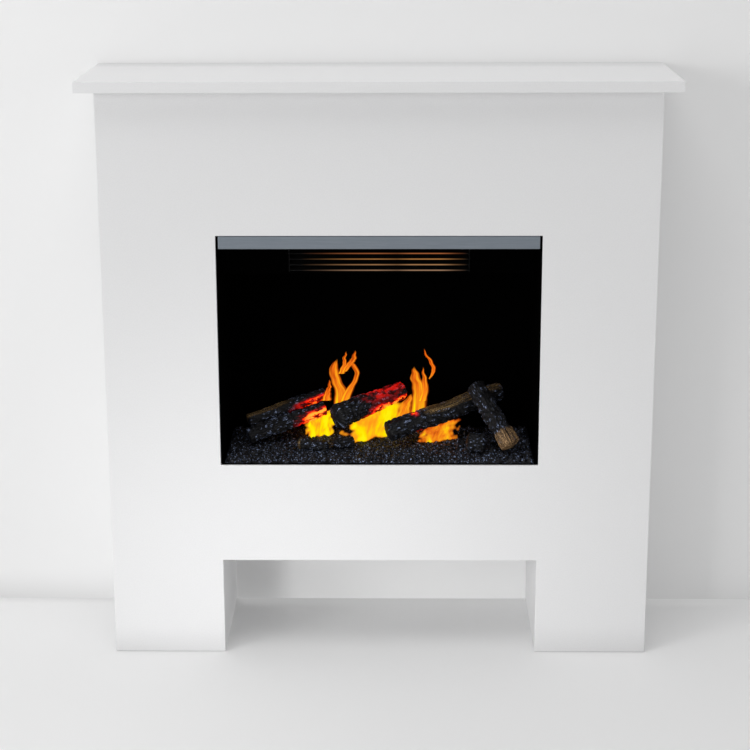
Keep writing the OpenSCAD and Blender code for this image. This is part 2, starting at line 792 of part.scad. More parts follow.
module control_board() {
    x0 = 142;
    y0 = 30;
    color("#2f6b45") {
        block([x0, y0, board_z], [x0 + 124, y0 + 70, board_z + 1.6]);
        for (x = [x0 + 6, x0 + 118], y = [y0 + 6, y0 + 64])
            translate([x, y, z_base + sheet_t]) cylinder(h = board_z - z_base - sheet_t, r = 3);
        for (i = [0:2]) block([x0 + 12 + i * 24, y0 + 10, board_z + 1.6],
                              [x0 + 30 + i * 24, y0 + 26, board_z + 17]);
        for (i = [0:1]) translate([x0 + 24 + i * 26, y0 + 48, board_z + 1.6])
            cylinder(h = 24, r = 8);
        block([x0 + 72, y0 + 36, board_z + 1.6], [x0 + 108, y0 + 58, board_z + 26]);
    }
}

module mains_inlet() {
    y0 = eng_y1 - 30;
    color("#1b1c1e") translate([inlet_x, 0, inlet_z]) difference() {
        union() {
            block([-inlet_w / 2, y0, -inlet_h / 2], [inlet_w / 2, eng_y1 + 0.5, inlet_h / 2]);
            block([-25, eng_y1, -15], [25, eng_y1 + 2.5, 15]);
        }
        block([-12, y0 + 8, -9], [12, eng_y1 + 3, 9]);
    }
    color("#1b1c1e") translate([inlet_x, 0, inlet_z]) {
        for (p = [[-7, -3], [7, -3], [0, 4]])
            block([p.x - 1, y0 + 7.5, p.y - 2], [p.x + 1, y0 + 22, p.y + 2]);
    }
}

module switch_panel() {
    t = 2;
    color(matt_black) difference() {
        block([panel_x0, panel_y0, panel_z0], [panel_x1, heat_y, panel_z1]);
        block([panel_x0 + t, panel_y0 + t, panel_z0 + t], [panel_x1 - t, heat_y - t, panel_z1 - t]);
        block([rocker_x - 7.3, button_y - 10.3, panel_z0 - 1],
              [rocker_x + 7.3, button_y + 10.3, panel_z0 + t + 1]);
        for (x = [heat_button_x, flame_button_x])
            translate([x, button_y, panel_z0 - 1]) cylinder(h = t + 2, r = button_r + 0.1);
    }
    // Pivot posts for the rocker, one on each side.
    color(matt_black) for (s = [-1, 1])
        block([rocker_x + s * 9 - 1, button_y - 4, panel_z0 + t - 0.1],
              [rocker_x + s * 9 + 1, button_y + 4, panel_z0 + 9]);
}

module power_rocker() {
    color("#b01818") translate([rocker_x, button_y, panel_z0 + 5]) rotate([-rocker_tilt, 0, 0]) {
        intersection() {
            translate([-7, 0, 0]) rotate([0, 90, 0]) cylinder(h = 14, r = 9.4);
            block([-7, -9.4, -6], [7, 9.4, 3]);
        }
        translate([-7.9, 0, 0]) rotate([0, 90, 0]) cylinder(h = 15.8, r = 1.5);
    }
}

module push_button(x) {
    color("#2a2b2e") translate([x, button_y, panel_z0 - 1.7]) {
        cylinder(h = 9, r = button_r);
        translate([0, 0, 4]) cylinder(h = 1.6, r = button_r + 1.5);
    }
}

// Cables through the given points, with a ring of eight corners at each of them: the mains lead
// inside the cabinet, and the riser from the control board to the heater.
cable_r = 2.5;
loom_y = (fire_y1 + sheet_t + eng_y1 - sheet_t) / 2;

module cable(points) {
    n = len(points);
    sides = 8;
    side_ref = [0.31, 0.23, 0.92];
    heading = [for (i = [0:n - 1])
        let (before = points[max(i, 1)] - points[max(i, 1) - 1],
             after = points[min(i, n - 2) + 1] - points[min(i, n - 2)],
             mean = before / norm(before) + after / norm(after))
        mean / norm(mean)];
    rings = [for (i = [0:n - 1])
        let (across = cross(side_ref, heading[i]) / norm(cross(side_ref, heading[i])),
             up = cross(heading[i], across))
        each [for (k = [0:sides - 1])
            points[i] + cable_r * (cos(360 * k / sides) * across + sin(360 * k / sides) * up)]];
    walls = [for (i = [0:n - 2], k = [0:sides - 1])
        let (m = (k + 1) % sides, low = i * sides, high = (i + 1) * sides)
        each [[low + k, high + k, high + m], [low + k, high + m, low + m]]];
    first = [for (k = [0:sides - 1]) k];
    last = [for (k = [sides - 1:-1:0]) (n - 1) * sides + k];
    polyhedron(rings, concat(walls, [first, last]), convexity = 6);
}

module wiring_loom() {
    color("#1a1a1c") {
        cable([[inlet_x, eng_y1 - 30.3, inlet_z], [inlet_x, eng_y1 - 42, inlet_z],
               [inlet_x, eng_y1 - 42, board_z + 31]]);
        cable([[255, 92, board_z + 4.5], [255, loom_y, board_z + 12], [255, loom_y, z_ceil + 30],
               [210, loom_y, z_ceil + 30], [motor_x0 + motor_w / 2, loom_y - 12, fan_z - 30],
               [motor_x0 + motor_w / 2, fan_y + 29, fan_z - 30]]);
    }
}

// ---- fuel bed ----

module ember_tray() {
    color("#b9541c") difference() {
        block([-tray_x, tray_y0, tray_z0], [tray_x, tray_y1, bed_z0]);
        block([-tray_x + tray_t, tray_y0 + tray_t, tray_z0 + tray_t],
              [tray_x - tray_t, tray_y1 - tray_t, bed_z0 + 1]);
        block([slot_x0, slot_y0, tray_z0 - 1],
              [slot_x0 + mist_slot_l, slot_y0 + mist_slot_d, tray_z0 + tray_t + 1]);
    }
}

module ember_bed() {
    front_z = z_lip + sheet_t + seat;
    color("#1d1f24") difference() {
        union() {
            block([-tray_x, tray_y0, bed_z0], [tray_x, tray_y1, bed_top]);
            block([-tray_x, lip_y + 2, front_z], [tray_x, tray_y0 + 1, bed_top + 2]);
        }
        block([slot_x0, slot_y0, bed_z0 - 1],
              [slot_x0 + mist_slot_l, slot_y0 + mist_slot_d, bed_top + 1]);
        block([-125, tray_y1 - 24, bed_z0 - 1], [125, tray_y1 - 12, bed_top + 1]);
    }
}

// Ring of points around a log at p, square to its direction, with knobbly bark.
function log_ring(p, dir, r, turn, sides) =
    let (across = cross([0, 0, 1], dir) / norm(cross([0, 0, 1], dir)), up = cross(dir, across))
    [for (k = [0:sides - 1])
        let (a = 360 * k / sides, rr = r * (1 + 0.05 * sin(3 * a + turn) + 0.03 * cos(5 * a - 2 * turn)))
        p + rr * cos(a) * across + rr * sin(a) * up];

// A log from a to b, with radius r0 at a and r1 at b.
module log_solid(a, b, r0, r1, turn) {
    sides = 10;
    rings = 7;
    dir = (b - a) / norm(b - a);
    points = [for (i = [0:rings - 1])
        let (t = i / (rings - 1), round_end = (i == 0 || i == rings - 1) ? 0.86 : 1)
        each log_ring(a + t * (b - a), dir, (r0 + t * (r1 - r0)) * round_end, turn + 40 * i, sides)];
    quads = [for (i = [0:rings - 2], k = [0:sides - 1])
        let (n = (k + 1) % sides)
        [i * sides + k, (i + 1) * sides + k, (i + 1) * sides + n, i * sides + n]];
    tris = [for (q = quads) each [[q[0], q[1], q[2]], [q[0], q[2], q[3]]]];
    end0 = [for (k = [0:sides - 1]) k];
    end1 = [for (k = [sides - 1:-1:0]) (rings - 1) * sides + k];
    polyhedron(points, concat(tris, [end0, end1]), convexity = 4);
}

// A hidden foot under a log, standing on the ember bed.
module log_foot(x, y, top) {
    translate([x, y, bed_top + 0.2]) cylinder(h = top - bed_top - 0.2, r = 5);
}

lift = bed_top - 377;              // logs keep their places above the ember bed

module log_left() {
    color("#3b3430") translate([0, 0, lift]) {
        log_solid([-250, 10, 421], [-106, 68, 459], 14, 13, 10);
        log_solid([-249, -14, 396], [-106, 40, 438], 15, 14, 60);
    }
    color("#3b3430") {
        log_foot(-215, 26, 425 + lift);
        log_foot(-130, 60, 447 + lift);
        log_foot(-225, -4, 400 + lift);
        log_foot(-125, 30, 430 + lift);
    }
}

module log_centre() {
    color("#3a2f2e") {
        translate([0, 0, lift]) log_solid([-80, -34, 441], [44, 56, 468], 25, 18, 100);
        log_foot(-40, 0, 445 + lift);
        log_foot(34, 60, 462 + lift);
    }
}

module log_right() {
    color("#4a3d2a") {
        translate([0, 0, lift]) log_solid([16, -32, 411], [232, 54, 467], 20, 19, 150);
        log_foot(40, -22, 410 + lift);
        log_foot(205, 42, 455 + lift);
    }
}

module log_cross() {
    color("#3a4048") translate([0, 0, lift])
        log_solid([180, 6, 493], [244, -72, 397], 17, 17, 200);
    color("#3a4048") log_foot(236, -64, 400 + lift);
}

module ember_chunks() {
    color("#2c313a") translate([0, 0, lift]) {
        log_solid([-150, -34, 388.8], [-98, -52, 387], 11, 10, 20);
        log_solid([-84, -36, 389.2], [-52, -28, 388.4], 12, 11, 70);
        log_solid([166, -46, 392.4], [196, -50, 391.2], 15, 14, 120);
    }
}

mantel_shelf();
front_panel();
mirror([1, 0, 0]) side_panel();  // side_panel_left
side_panel();  // side_panel_right
mirror([1, 0, 0]) leg_inner_panel();  // leg_inner_panel_left
leg_inner_panel();  // leg_inner_panel_right
bridge_board();
top_rails();
leg_base_boards();
glides();
corner_battens();
rear_panel();
fixing_screws();
shelf_screws();
wall_brackets();
engine_base_pan();
engine_front_sheet();
mirror([1, 0, 0]) engine_side();  // engine_side_left
engine_side();  // engine_side_right
engine_back();
engine_lid();
firebox_back();
firebox_ceiling();
fascia_strip();
heater_front_plate();
outlet_grille();
deck_plate();
heater_housing();
heater_impeller();
heater_shaft();
heater_motor();
heater_bearing();
heating_element();
sump();
mist_transducer();
mist_nozzle();
mist_fan_housing();
mist_fan_rotor();
air_filter();
water_tank();
tank_cap();
tank_valve();
lamp_rail();
lamps();
transformer();
control_board();
mains_inlet();
switch_panel();
power_rocker();
push_button(heat_button_x);  // heat_button
push_button(flame_button_x);  // flame_button
wiring_loom();
ember_tray();
ember_bed();
log_left();
log_centre();
log_right();
log_cross();
ember_chunks();
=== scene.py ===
# A free-standing electric fireplace: a white lacquered mantel around a water-mist flame engine.
import math

import bmesh
import bpy
from mathutils import Matrix, Vector, noise


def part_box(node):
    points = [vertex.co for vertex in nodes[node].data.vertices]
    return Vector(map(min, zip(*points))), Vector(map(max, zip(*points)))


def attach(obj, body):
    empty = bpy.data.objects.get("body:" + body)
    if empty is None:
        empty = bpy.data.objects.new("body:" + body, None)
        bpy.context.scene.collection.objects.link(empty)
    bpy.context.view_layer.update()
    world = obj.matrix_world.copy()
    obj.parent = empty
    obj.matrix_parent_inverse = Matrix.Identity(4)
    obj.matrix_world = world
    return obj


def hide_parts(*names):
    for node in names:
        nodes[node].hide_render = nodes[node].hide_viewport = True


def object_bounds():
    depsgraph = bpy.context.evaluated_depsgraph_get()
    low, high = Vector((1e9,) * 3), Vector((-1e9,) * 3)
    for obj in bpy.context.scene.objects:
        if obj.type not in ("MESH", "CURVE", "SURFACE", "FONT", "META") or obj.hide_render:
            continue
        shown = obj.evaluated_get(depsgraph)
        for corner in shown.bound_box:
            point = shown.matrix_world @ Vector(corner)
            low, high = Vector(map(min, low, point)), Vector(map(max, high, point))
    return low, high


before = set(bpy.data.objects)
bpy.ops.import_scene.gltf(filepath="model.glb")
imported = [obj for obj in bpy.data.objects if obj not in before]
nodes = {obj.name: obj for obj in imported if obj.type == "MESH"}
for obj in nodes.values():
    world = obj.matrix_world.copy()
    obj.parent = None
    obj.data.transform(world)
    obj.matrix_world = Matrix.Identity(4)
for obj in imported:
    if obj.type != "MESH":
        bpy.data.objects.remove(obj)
cad_box = [list(corner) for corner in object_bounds()]

scene = bpy.context.scene
scene.view_settings.view_transform = "Standard"


# ---- camera -------------------------------------------------------------------------------
# A long lens at standing height, a little right of the middle and turned a touch to the left.
# It stands about 3.3 m in front of the mantel and looks down on it.

CAMERA_PLACE = Vector((0.03606, -3.47122, 1.47462))
CAMERA_PITCH = math.radians(-15.481)
CAMERA_YAW = math.radians(0.744)
CAMERA_ROLL = math.radians(-0.172)

lens = bpy.data.cameras.new("studio_camera")
lens.sensor_width = 36.0
lens.lens = 91.88
lens.clip_end = 50.0
camera = bpy.data.objects.new("studio_camera", lens)
scene.collection.objects.link(camera)
aim = Matrix.Rotation(CAMERA_YAW, 4, "Z") @ Matrix.Rotation(math.pi / 2 + CAMERA_PITCH, 4, "X")
camera.matrix_world = Matrix.Translation(CAMERA_PLACE) @ aim @ Matrix.Rotation(CAMERA_ROLL, 4, "Z")
scene.camera = camera


# ---- lacquered boards ---------------------------------------------------------------------
# Fibreboard, sawn to size and sprayed with a satin white lacquer after its edges are broken
# with sandpaper. The boards are glued and screwed from behind, so no fixing shows.

EDGE_ROUND = 0.0011


def new_material(name):
    """A node material, with its node tree, its shader and a function that adds a node."""
    mat = bpy.data.materials.new(name)
    mat.use_nodes = True
    tree = mat.node_tree
    shader = tree.nodes["Principled BSDF"]

    def add(kind, **values):
        node = tree.nodes.new(kind)
        for key, value in values.items():
            setattr(node, key, value)
        return node

    return mat, tree, shader, add


def noise_bump(tree, shader, add, scale, strength, distance, detail=3.0, stretch=(1, 1, 1)):
    """Fine relief from noise in the piece's own coordinates."""
    place = add("ShaderNodeTexCoord")
    turn = add("ShaderNodeMapping")
    turn.inputs["Scale"].default_value = stretch
    grain = add("ShaderNodeTexNoise")
    grain.inputs["Scale"].default_value = scale
    grain.inputs["Detail"].default_value = detail
    bump = add("ShaderNodeBump")
    bump.inputs["Strength"].default_value = strength
    bump.inputs["Distance"].default_value = distance
    tree.links.new(place.outputs["Object"], turn.inputs["Vector"])
    tree.links.new(turn.outputs["Vector"], grain.inputs["Vector"])
    tree.links.new(grain.outputs["Fac"], bump.inputs["Height"])
    tree.links.new(bump.outputs["Normal"], shader.inputs["Normal"])
    return grain


def mottled(tree, shader, add, grain, dark, light):
    """Colour that drifts between two close tones with the noise."""
    ramp = add("ShaderNodeValToRGB")
    ramp.color_ramp.elements[0].position = 0.3
    ramp.color_ramp.elements[1].position = 0.7
    ramp.color_ramp.elements[0].color = (*dark, 1)
    ramp.color_ramp.elements[1].color = (*light, 1)
    tree.links.new(grain.outputs["Fac"], ramp.inputs["Fac"])
    tree.links.new(ramp.outputs["Color"], shader.inputs["Base Color"])


def coated(name, dark, light, rough, scale=60.0, strength=0.08, distance=0.0004,
           metallic=0.0, specular=0.5, stretch=(1, 1, 1)):
    """A finish with a little mottling and relief: paint, plating, moulded plastic or board."""
    mat, tree, shader, add = new_material(name)
    shader.inputs["Roughness"].default_value = rough
    shader.inputs["Metallic"].default_value = metallic
    shader.inputs["Specular IOR Level"].default_value = specular
    grain = noise_bump(tree, shader, add, scale, strength, distance, stretch=stretch)
    mottled(tree, shader, add, grain, dark, light)
    return mat


def soft_edged(node, width):
    """The CAD board with its edges broken: its loose triangles are joined, then bevelled."""
    mesh = nodes[node].data.copy()
    piece = bpy.data.objects.new(node + "_finished", mesh)
    scene.collection.objects.link(piece)
    form = bmesh.new()
    form.from_mesh(mesh)
    bmesh.ops.remove_doubles(form, verts=form.verts, dist=1e-6)
    bmesh.ops.dissolve_limit(form, angle_limit=math.radians(1), verts=form.verts, edges=form.edges)
    sharp = [e for e in form.edges if len(e.link_faces) == 2
             and e.calc_face_angle(0) > math.radians(30)]
    bmesh.ops.bevel(form, geom=sharp, offset=width, segments=2, profile=0.6, affect="EDGES",
                    clamp_overlap=True)
    bmesh.ops.triangulate(form, faces=form.faces)
    form.to_mesh(mesh)
    form.free()
    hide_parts(node)
    return piece


def finish_piece(piece, mat, smooth=False):
    """Gives the piece one material, and smooth shading where its surface is curved."""
    piece.data.materials.clear()
    piece.data.materials.append(mat)
    for face in piece.data.polygons:
        face.material_index = 0
        face.use_smooth = smooth


white_lacquer = coated("white_lacquer", (0.80, 0.80, 0.805), (0.83, 0.83, 0.835), 0.42,
                       scale=420.0, strength=0.05, distance=0.0002)

for name in ("mantel_shelf", "front_panel", "side_panel_left", "side_panel_right",
             "leg_inner_panel_left", "leg_inner_panel_right", "bridge_board"):
    board = soft_edged(name, EDGE_ROUND)
    finish_piece(board, white_lacquer)
    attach(board, "root")


# ---- hidden boards, glides and rear panel -------------------------------------------------
# Rails, battens and leg bases are the same fibreboard without lacquer. The glides are nailed-in
# plastic buttons. The rear panel is thin hardboard with a pale paper face.

def dress(mat, *names):
    """The same finish on CAD nodes whose shape is right as it is."""
    for name in names:
        nodes[name].data.materials.clear()
        nodes[name].data.materials.append(mat)


raw_board = coated("raw_board", (0.42, 0.30, 0.17), (0.52, 0.38, 0.23), 0.85, scale=300.0,
                   strength=0.25, distance=0.0006, specular=0.2)
rear_board = coated("rear_hardboard", (0.66, 0.64, 0.60), (0.72, 0.70, 0.66), 0.7, scale=500.0,
                    strength=0.15, distance=0.0004, specular=0.3)
glide_plastic = coated("glide_plastic", (0.03, 0.03, 0.032), (0.045, 0.045, 0.048), 0.55)

dress(raw_board, "top_rails", "leg_base_boards", "corner_battens")
dress(rear_board, "rear_panel")
dress(glide_plastic, "glides")


# ---- screws and brackets ------------------------------------------------------------------
# Zinc-plated steel: countersunk screws, and two folded brackets for the wall screws.

zinc = coated("zinc_plated_steel", (0.55, 0.56, 0.58), (0.70, 0.71, 0.73), 0.3, scale=150.0,
              metallic=1.0)
dress(zinc, "fixing_screws", "shelf_screws", "wall_brackets", "heater_shaft")


# ---- engine casing ------------------------------------------------------------------------
# Folded sheet: the hidden cabinet is galvanised, and the sides that reach into the opening are
# powder-coated matt black like the firebox.

galvanised = coated("galvanised_steel", (0.42, 0.44, 0.45), (0.56, 0.58, 0.59), 0.45,
                    scale=90.0, metallic=1.0)
firebox_black = coated("firebox_black", (0.0002, 0.0002, 0.0002), (0.0005, 0.0005, 0.0005), 1.0,
                       scale=700.0, strength=0.2, distance=0.0002, specular=0.01)

dress(galvanised, "engine_base_pan", "engine_front_sheet", "engine_back", "engine_lid",
      "lamp_rail", "heater_housing")
dress(firebox_black, "engine_side_left", "engine_side_right", "firebox_back",
      "firebox_ceiling", "heater_front_plate", "deck_plate")


# ---- grey strip ---------------------------------------------------------------------------
# A folded strip in satin blue-grey across the top of the opening. It hides the switches.

def strip_finish():
    mat, tree, shader, add = new_material("grey_strip")
    shader.inputs["Roughness"].default_value = 0.38
    shader.inputs["Metallic"].default_value = 0.25
    grain = noise_bump(tree, shader, add, 900.0, 0.05, 0.0002, stretch=(0.03, 1, 1))
    mottled(tree, shader, add, grain, (0.185, 0.215, 0.25), (0.215, 0.245, 0.28))
    return mat


strip = soft_edged("fascia_strip", 0.0006)
finish_piece(strip, strip_finish())
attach(strip, "root")


# ---- warm-air outlet grille ---------------------------------------------------------------
# Four gloss-black slats. Their rounded front edges carry a painted reflection of the fire as
# thin warm lines of emission that fade towards the ends.

def grille_finish():
    mat, tree, shader, add = new_material("gloss_black")
    shader.inputs["Base Color"].default_value = (0.004, 0.004, 0.004, 1)
    shader.inputs["Roughness"].default_value = 0.35
    shader.inputs["Specular IOR Level"].default_value = 0.05
    place = add("ShaderNodeTexCoord")
    split = add("ShaderNodeSeparateXYZ")
    tree.links.new(place.outputs["Object"], split.inputs["Vector"])
    # The painted reflection is strongest right of the middle, and fades out at both ends.
    painted_glow = add("ShaderNodeValToRGB")
    stops = [(0.0, 0.0), (0.12, 0.10), (0.30, 0.42), (0.45, 0.55), (0.58, 0.30), (0.66, 0.62),
             (0.84, 0.66), (0.93, 0.2), (1.0, 0.0)]
    while len(painted_glow.color_ramp.elements) < len(stops):
        painted_glow.color_ramp.elements.new(0.5)
    for element, (where, reflection_strength) in zip(painted_glow.color_ramp.elements, stops):
        element.position = where
        element.color = (reflection_strength, reflection_strength, reflection_strength, 1)
    along = add("ShaderNodeMapRange")
    along.inputs["From Min"].default_value = -0.142
    along.inputs["From Max"].default_value = 0.160
    tree.links.new(split.outputs["X"], along.inputs["Value"])
    tree.links.new(along.outputs["Result"], painted_glow.inputs["Fac"])
    # Only the front rounding of each slat carries the painted reflection.
    front = add("ShaderNodeMapRange")
    low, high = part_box("outlet_grille")
    front.inputs["From Min"].default_value = low[1] + 0.0022
    front.inputs["From Max"].default_value = low[1] + 0.0012
    tree.links.new(split.outputs["Y"], front.inputs["Value"])
    reflection_strength = add("ShaderNodeMath", operation="MULTIPLY")
    tree.links.new(front.outputs["Result"], reflection_strength.inputs[0])
    tree.links.new(painted_glow.outputs["Color"], reflection_strength.inputs[1])
    reflection_tint = add("ShaderNodeMapRange")
    reflection_tint.inputs["From Min"].default_value = 0.725
    reflection_tint.inputs["From Max"].default_value = 0.762
    tree.links.new(split.outputs["Z"], reflection_tint.inputs["Value"])
    reflection_colour = add("ShaderNodeValToRGB")
    reflection_colour.color_ramp.elements[0].color = (0.60, 0.36, 0.22, 1)
    reflection_colour.color_ramp.elements[1].color = (0.62, 0.16, 0.05, 1)
    middle = reflection_colour.color_ramp.elements.new(0.6)
    middle.color = (0.75, 0.34, 0.09, 1)
    tree.links.new(reflection_tint.outputs["Result"], reflection_colour.inputs["Fac"])
    tree.links.new(reflection_colour.outputs["Color"], shader.inputs["Emission Color"])
    tree.links.new(reflection_strength.outputs["Value"], shader.inputs["Emission Strength"])
    return mat


dress(grille_finish(), "outlet_grille")


# ---- fan heater ---------------------------------------------------------------------------
# A cross-flow impeller of thin aluminium blades on a steel shaft, in sintered bronze bushes,
# driven by a shaded-pole motor. Its air passes a finned element on the way to the grille.

aluminium = coated("mill_aluminium", (0.60, 0.61, 0.62), (0.74, 0.75, 0.76), 0.35, scale=80.0,
                   metallic=1.0)
motor_steel = coated("motor_steel", (0.16, 0.17, 0.18), (0.26, 0.27, 0.28), 0.4, scale=200.0,
                     metallic=0.7, stretch=(8, 1, 1))
bronze = coated("sintered_bronze", (0.40, 0.24, 0.09), (0.52, 0.33, 0.14), 0.4, scale=500.0,
                metallic=1.0)
dress(aluminium, "heater_impeller", "heating_element")
dress(motor_steel, "heater_motor")
dress(bronze, "heater_bearing")


# ---- mist unit ----------------------------------------------------------------------------
# Dark injection-moulded sump, nozzle and fan frame, a ceramic mist transducer, a smoky tank
# with its bayonet cap, and a foam filter in a push-in frame.

dark_moulding = coated("dark_moulding", (0.022, 0.024, 0.028), (0.034, 0.036, 0.042), 0.5,
                       scale=800.0, strength=0.2)
smoky = coated("tank_plastic", (0.30, 0.40, 0.44), (0.38, 0.48, 0.52), 0.15, scale=20.0)
smoky.node_tree.nodes["Principled BSDF"].inputs["Alpha"].default_value = 0.75
ceramic = coated("transducer_ceramic", (0.68, 0.64, 0.55), (0.76, 0.72, 0.63), 0.4)
foam = coated("filter_foam", (0.08, 0.10, 0.11), (0.20, 0.24, 0.26), 0.95, scale=1500.0,
              strength=0.9, distance=0.001, specular=0.1)
stainless = coated("stainless", (0.6, 0.6, 0.61), (0.7, 0.7, 0.71), 0.2, metallic=1.0)
dress(dark_moulding, "sump", "mist_nozzle", "mist_fan_housing", "mist_fan_rotor", "tank_cap",
      "mains_inlet", "switch_panel", "heat_button", "flame_button")
dress(smoky, "water_tank")
dress(ceramic, "mist_transducer")
dress(foam, "air_filter")
dress(stainless, "tank_valve")


# ---- lamps, transformer, board, rocker and cables -----------------------------------------
# Capsule lamps under the ember tray, a laminated transformer, a green control board, a red
# rocker switch behind the strip, and black cables.

lamp_glass = coated("lamp_glass", (0.92, 0.88, 0.78), (0.96, 0.92, 0.84), 0.05, scale=30.0)
lamp_glass.node_tree.nodes["Principled BSDF"].inputs["Alpha"].default_value = 0.4
varnished = coated("transformer_core", (0.16, 0.10, 0.05), (0.28, 0.19, 0.10), 0.35,
                   scale=400.0, metallic=0.4, stretch=(10, 1, 1))
circuit = coated("circuit_board", (0.015, 0.10, 0.04), (0.04, 0.20, 0.09), 0.3, scale=250.0)
rocker_red = coated("rocker_red", (0.42, 0.012, 0.012), (0.5, 0.02, 0.02), 0.2)
cable_black = coated("cable_black", (0.014, 0.014, 0.016), (0.024, 0.024, 0.026), 0.6)
dress(lamp_glass, "lamps")
dress(varnished, "transformer")
dress(circuit, "control_board")
dress(rocker_red, "power_rocker")
dress(cable_black, "wiring_loom")


# ---- ember tray and ember bed -------------------------------------------------------------
# An amber tray over the lamps. On it lies a moulded bed, covered with black cinders whose
# broken edges carry blue-white ash with painted highlights. The cinders also cover the mist slot.

amber = coated("amber_tray", (0.45, 0.12, 0.02), (0.60, 0.20, 0.04), 0.3, scale=60.0)
dress(amber, "ember_tray")

BED_CELL = 0.006
CRUMB_COUNT = 4000
CRUMB_SMALL = 0.0022
CRUMB_LARGE = 0.0068


def cinder_finish(name, ash_and_highlight_low, ash_and_highlight_high):
    """Black cinders with blue-white ash and painted highlights on their raised spots."""
    mat, tree, shader, add = new_material(name)
    shader.inputs["Roughness"].default_value = 0.6
    shader.inputs["Specular IOR Level"].default_value = 0.35
    place = add("ShaderNodeTexCoord")
    patches = add("ShaderNodeTexNoise")
    patches.inputs["Scale"].default_value = 300.0
    patches.inputs["Detail"].default_value = 4.0
    # The blue-white end of the ramp is ash paint and partly a painted highlight.
    ramp = add("ShaderNodeValToRGB")
    ramp.color_ramp.elements[0].position = ash_and_highlight_low
    ramp.color_ramp.elements[0].color = (0.0025, 0.0025, 0.004, 1)
    ramp.color_ramp.elements[1].position = ash_and_highlight_high
    ramp.color_ramp.elements[1].color = (0.34, 0.43, 0.68, 1)
    bump = add("ShaderNodeBump")
    bump.inputs["Strength"].default_value = 0.8
    bump.inputs["Distance"].default_value = 0.0012
    tree.links.new(place.outputs["Object"], patches.inputs["Vector"])
    tree.links.new(patches.outputs["Fac"], ramp.inputs["Fac"])
    tree.links.new(ramp.outputs["Color"], shader.inputs["Base Color"])
    tree.links.new(patches.outputs["Fac"], bump.inputs["Height"])
    tree.links.new(bump.outputs["Normal"], shader.inputs["Normal"])
    return mat


def uneven(x, y, size, seed):
    """Smooth noise between -1 and 1, with bumps about size apart."""
    return noise.noise(Vector((x / size, y / size, seed)))


def bed_slab():
    """A thin bumpy sheet under the cinders. It has no mist slot, and its faces nearly touch."""
    low, high = (Vector(c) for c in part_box("ember_bed"))
    columns = round((high.x - low.x) / BED_CELL)
    rows = round((high.y - low.y) / BED_CELL)
    form = bmesh.new()
    top = []
    for j in range(rows + 1):
        row = []
        for i in range(columns + 1):
            x = low.x + (high.x - low.x) * i / columns
            y = low.y + (high.y - low.y) * j / rows
            z = high.z - 0.0045 + 0.0018 * uneven(x, y, 0.018, 3.1) + 0.0008 * uneven(x, y, 0.007, 8.4)
            row.append(form.verts.new((x, y, z)))
        top.append(row)
    for j in range(rows):
        for i in range(columns):
            form.faces.new((top[j][i], top[j][i + 1], top[j + 1][i + 1], top[j + 1][i]))
    rim = [e for e in form.edges if e.is_boundary]
    skirt = bmesh.ops.extrude_edge_only(form, edges=rim)["geom"]
    for vert in (v for v in skirt if isinstance(v, bmesh.types.BMVert)):
        vert.co.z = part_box("deck_plate")[1][2] + 0.0004
    bottom = [e for e in form.edges if e.is_boundary]
    bmesh.ops.holes_fill(form, edges=bottom, sides=0)
    bmesh.ops.recalc_face_normals(form, faces=form.faces)
    mesh = bpy.data.meshes.new("ember_bed_finished")
    form.to_mesh(mesh)
    form.free()
    piece = bpy.data.objects.new("ember_bed_finished", mesh)
    scene.collection.objects.link(piece)
    return piece


bed = bed_slab()
bed_black = cinder_finish("bed_black", 0.60, 0.80)
finish_piece(bed, bed_black, smooth=True)
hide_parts("ember_bed")
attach(bed, "fuel_bed")


def crumb_shape(seed):
    """One broken cinder: a small faceted lump, a unit across."""
    form = bmesh.new()
    bmesh.ops.create_icosphere(form, subdivisions=1, radius=1.0)
    for vert in form.verts:
        spread = noise.noise(vert.co * 1.3 + Vector((seed, 0.0, 0.0)))
        vert.co = vert.co * (1.0 + 0.65 * spread)
    mesh = bpy.data.meshes.new(f"crumb_{seed}")
    form.to_mesh(mesh)
    form.free()
    shape = bpy.data.objects.new(f"crumb_{seed}", mesh)
    scene.collection.objects.link(shape)
    return shape


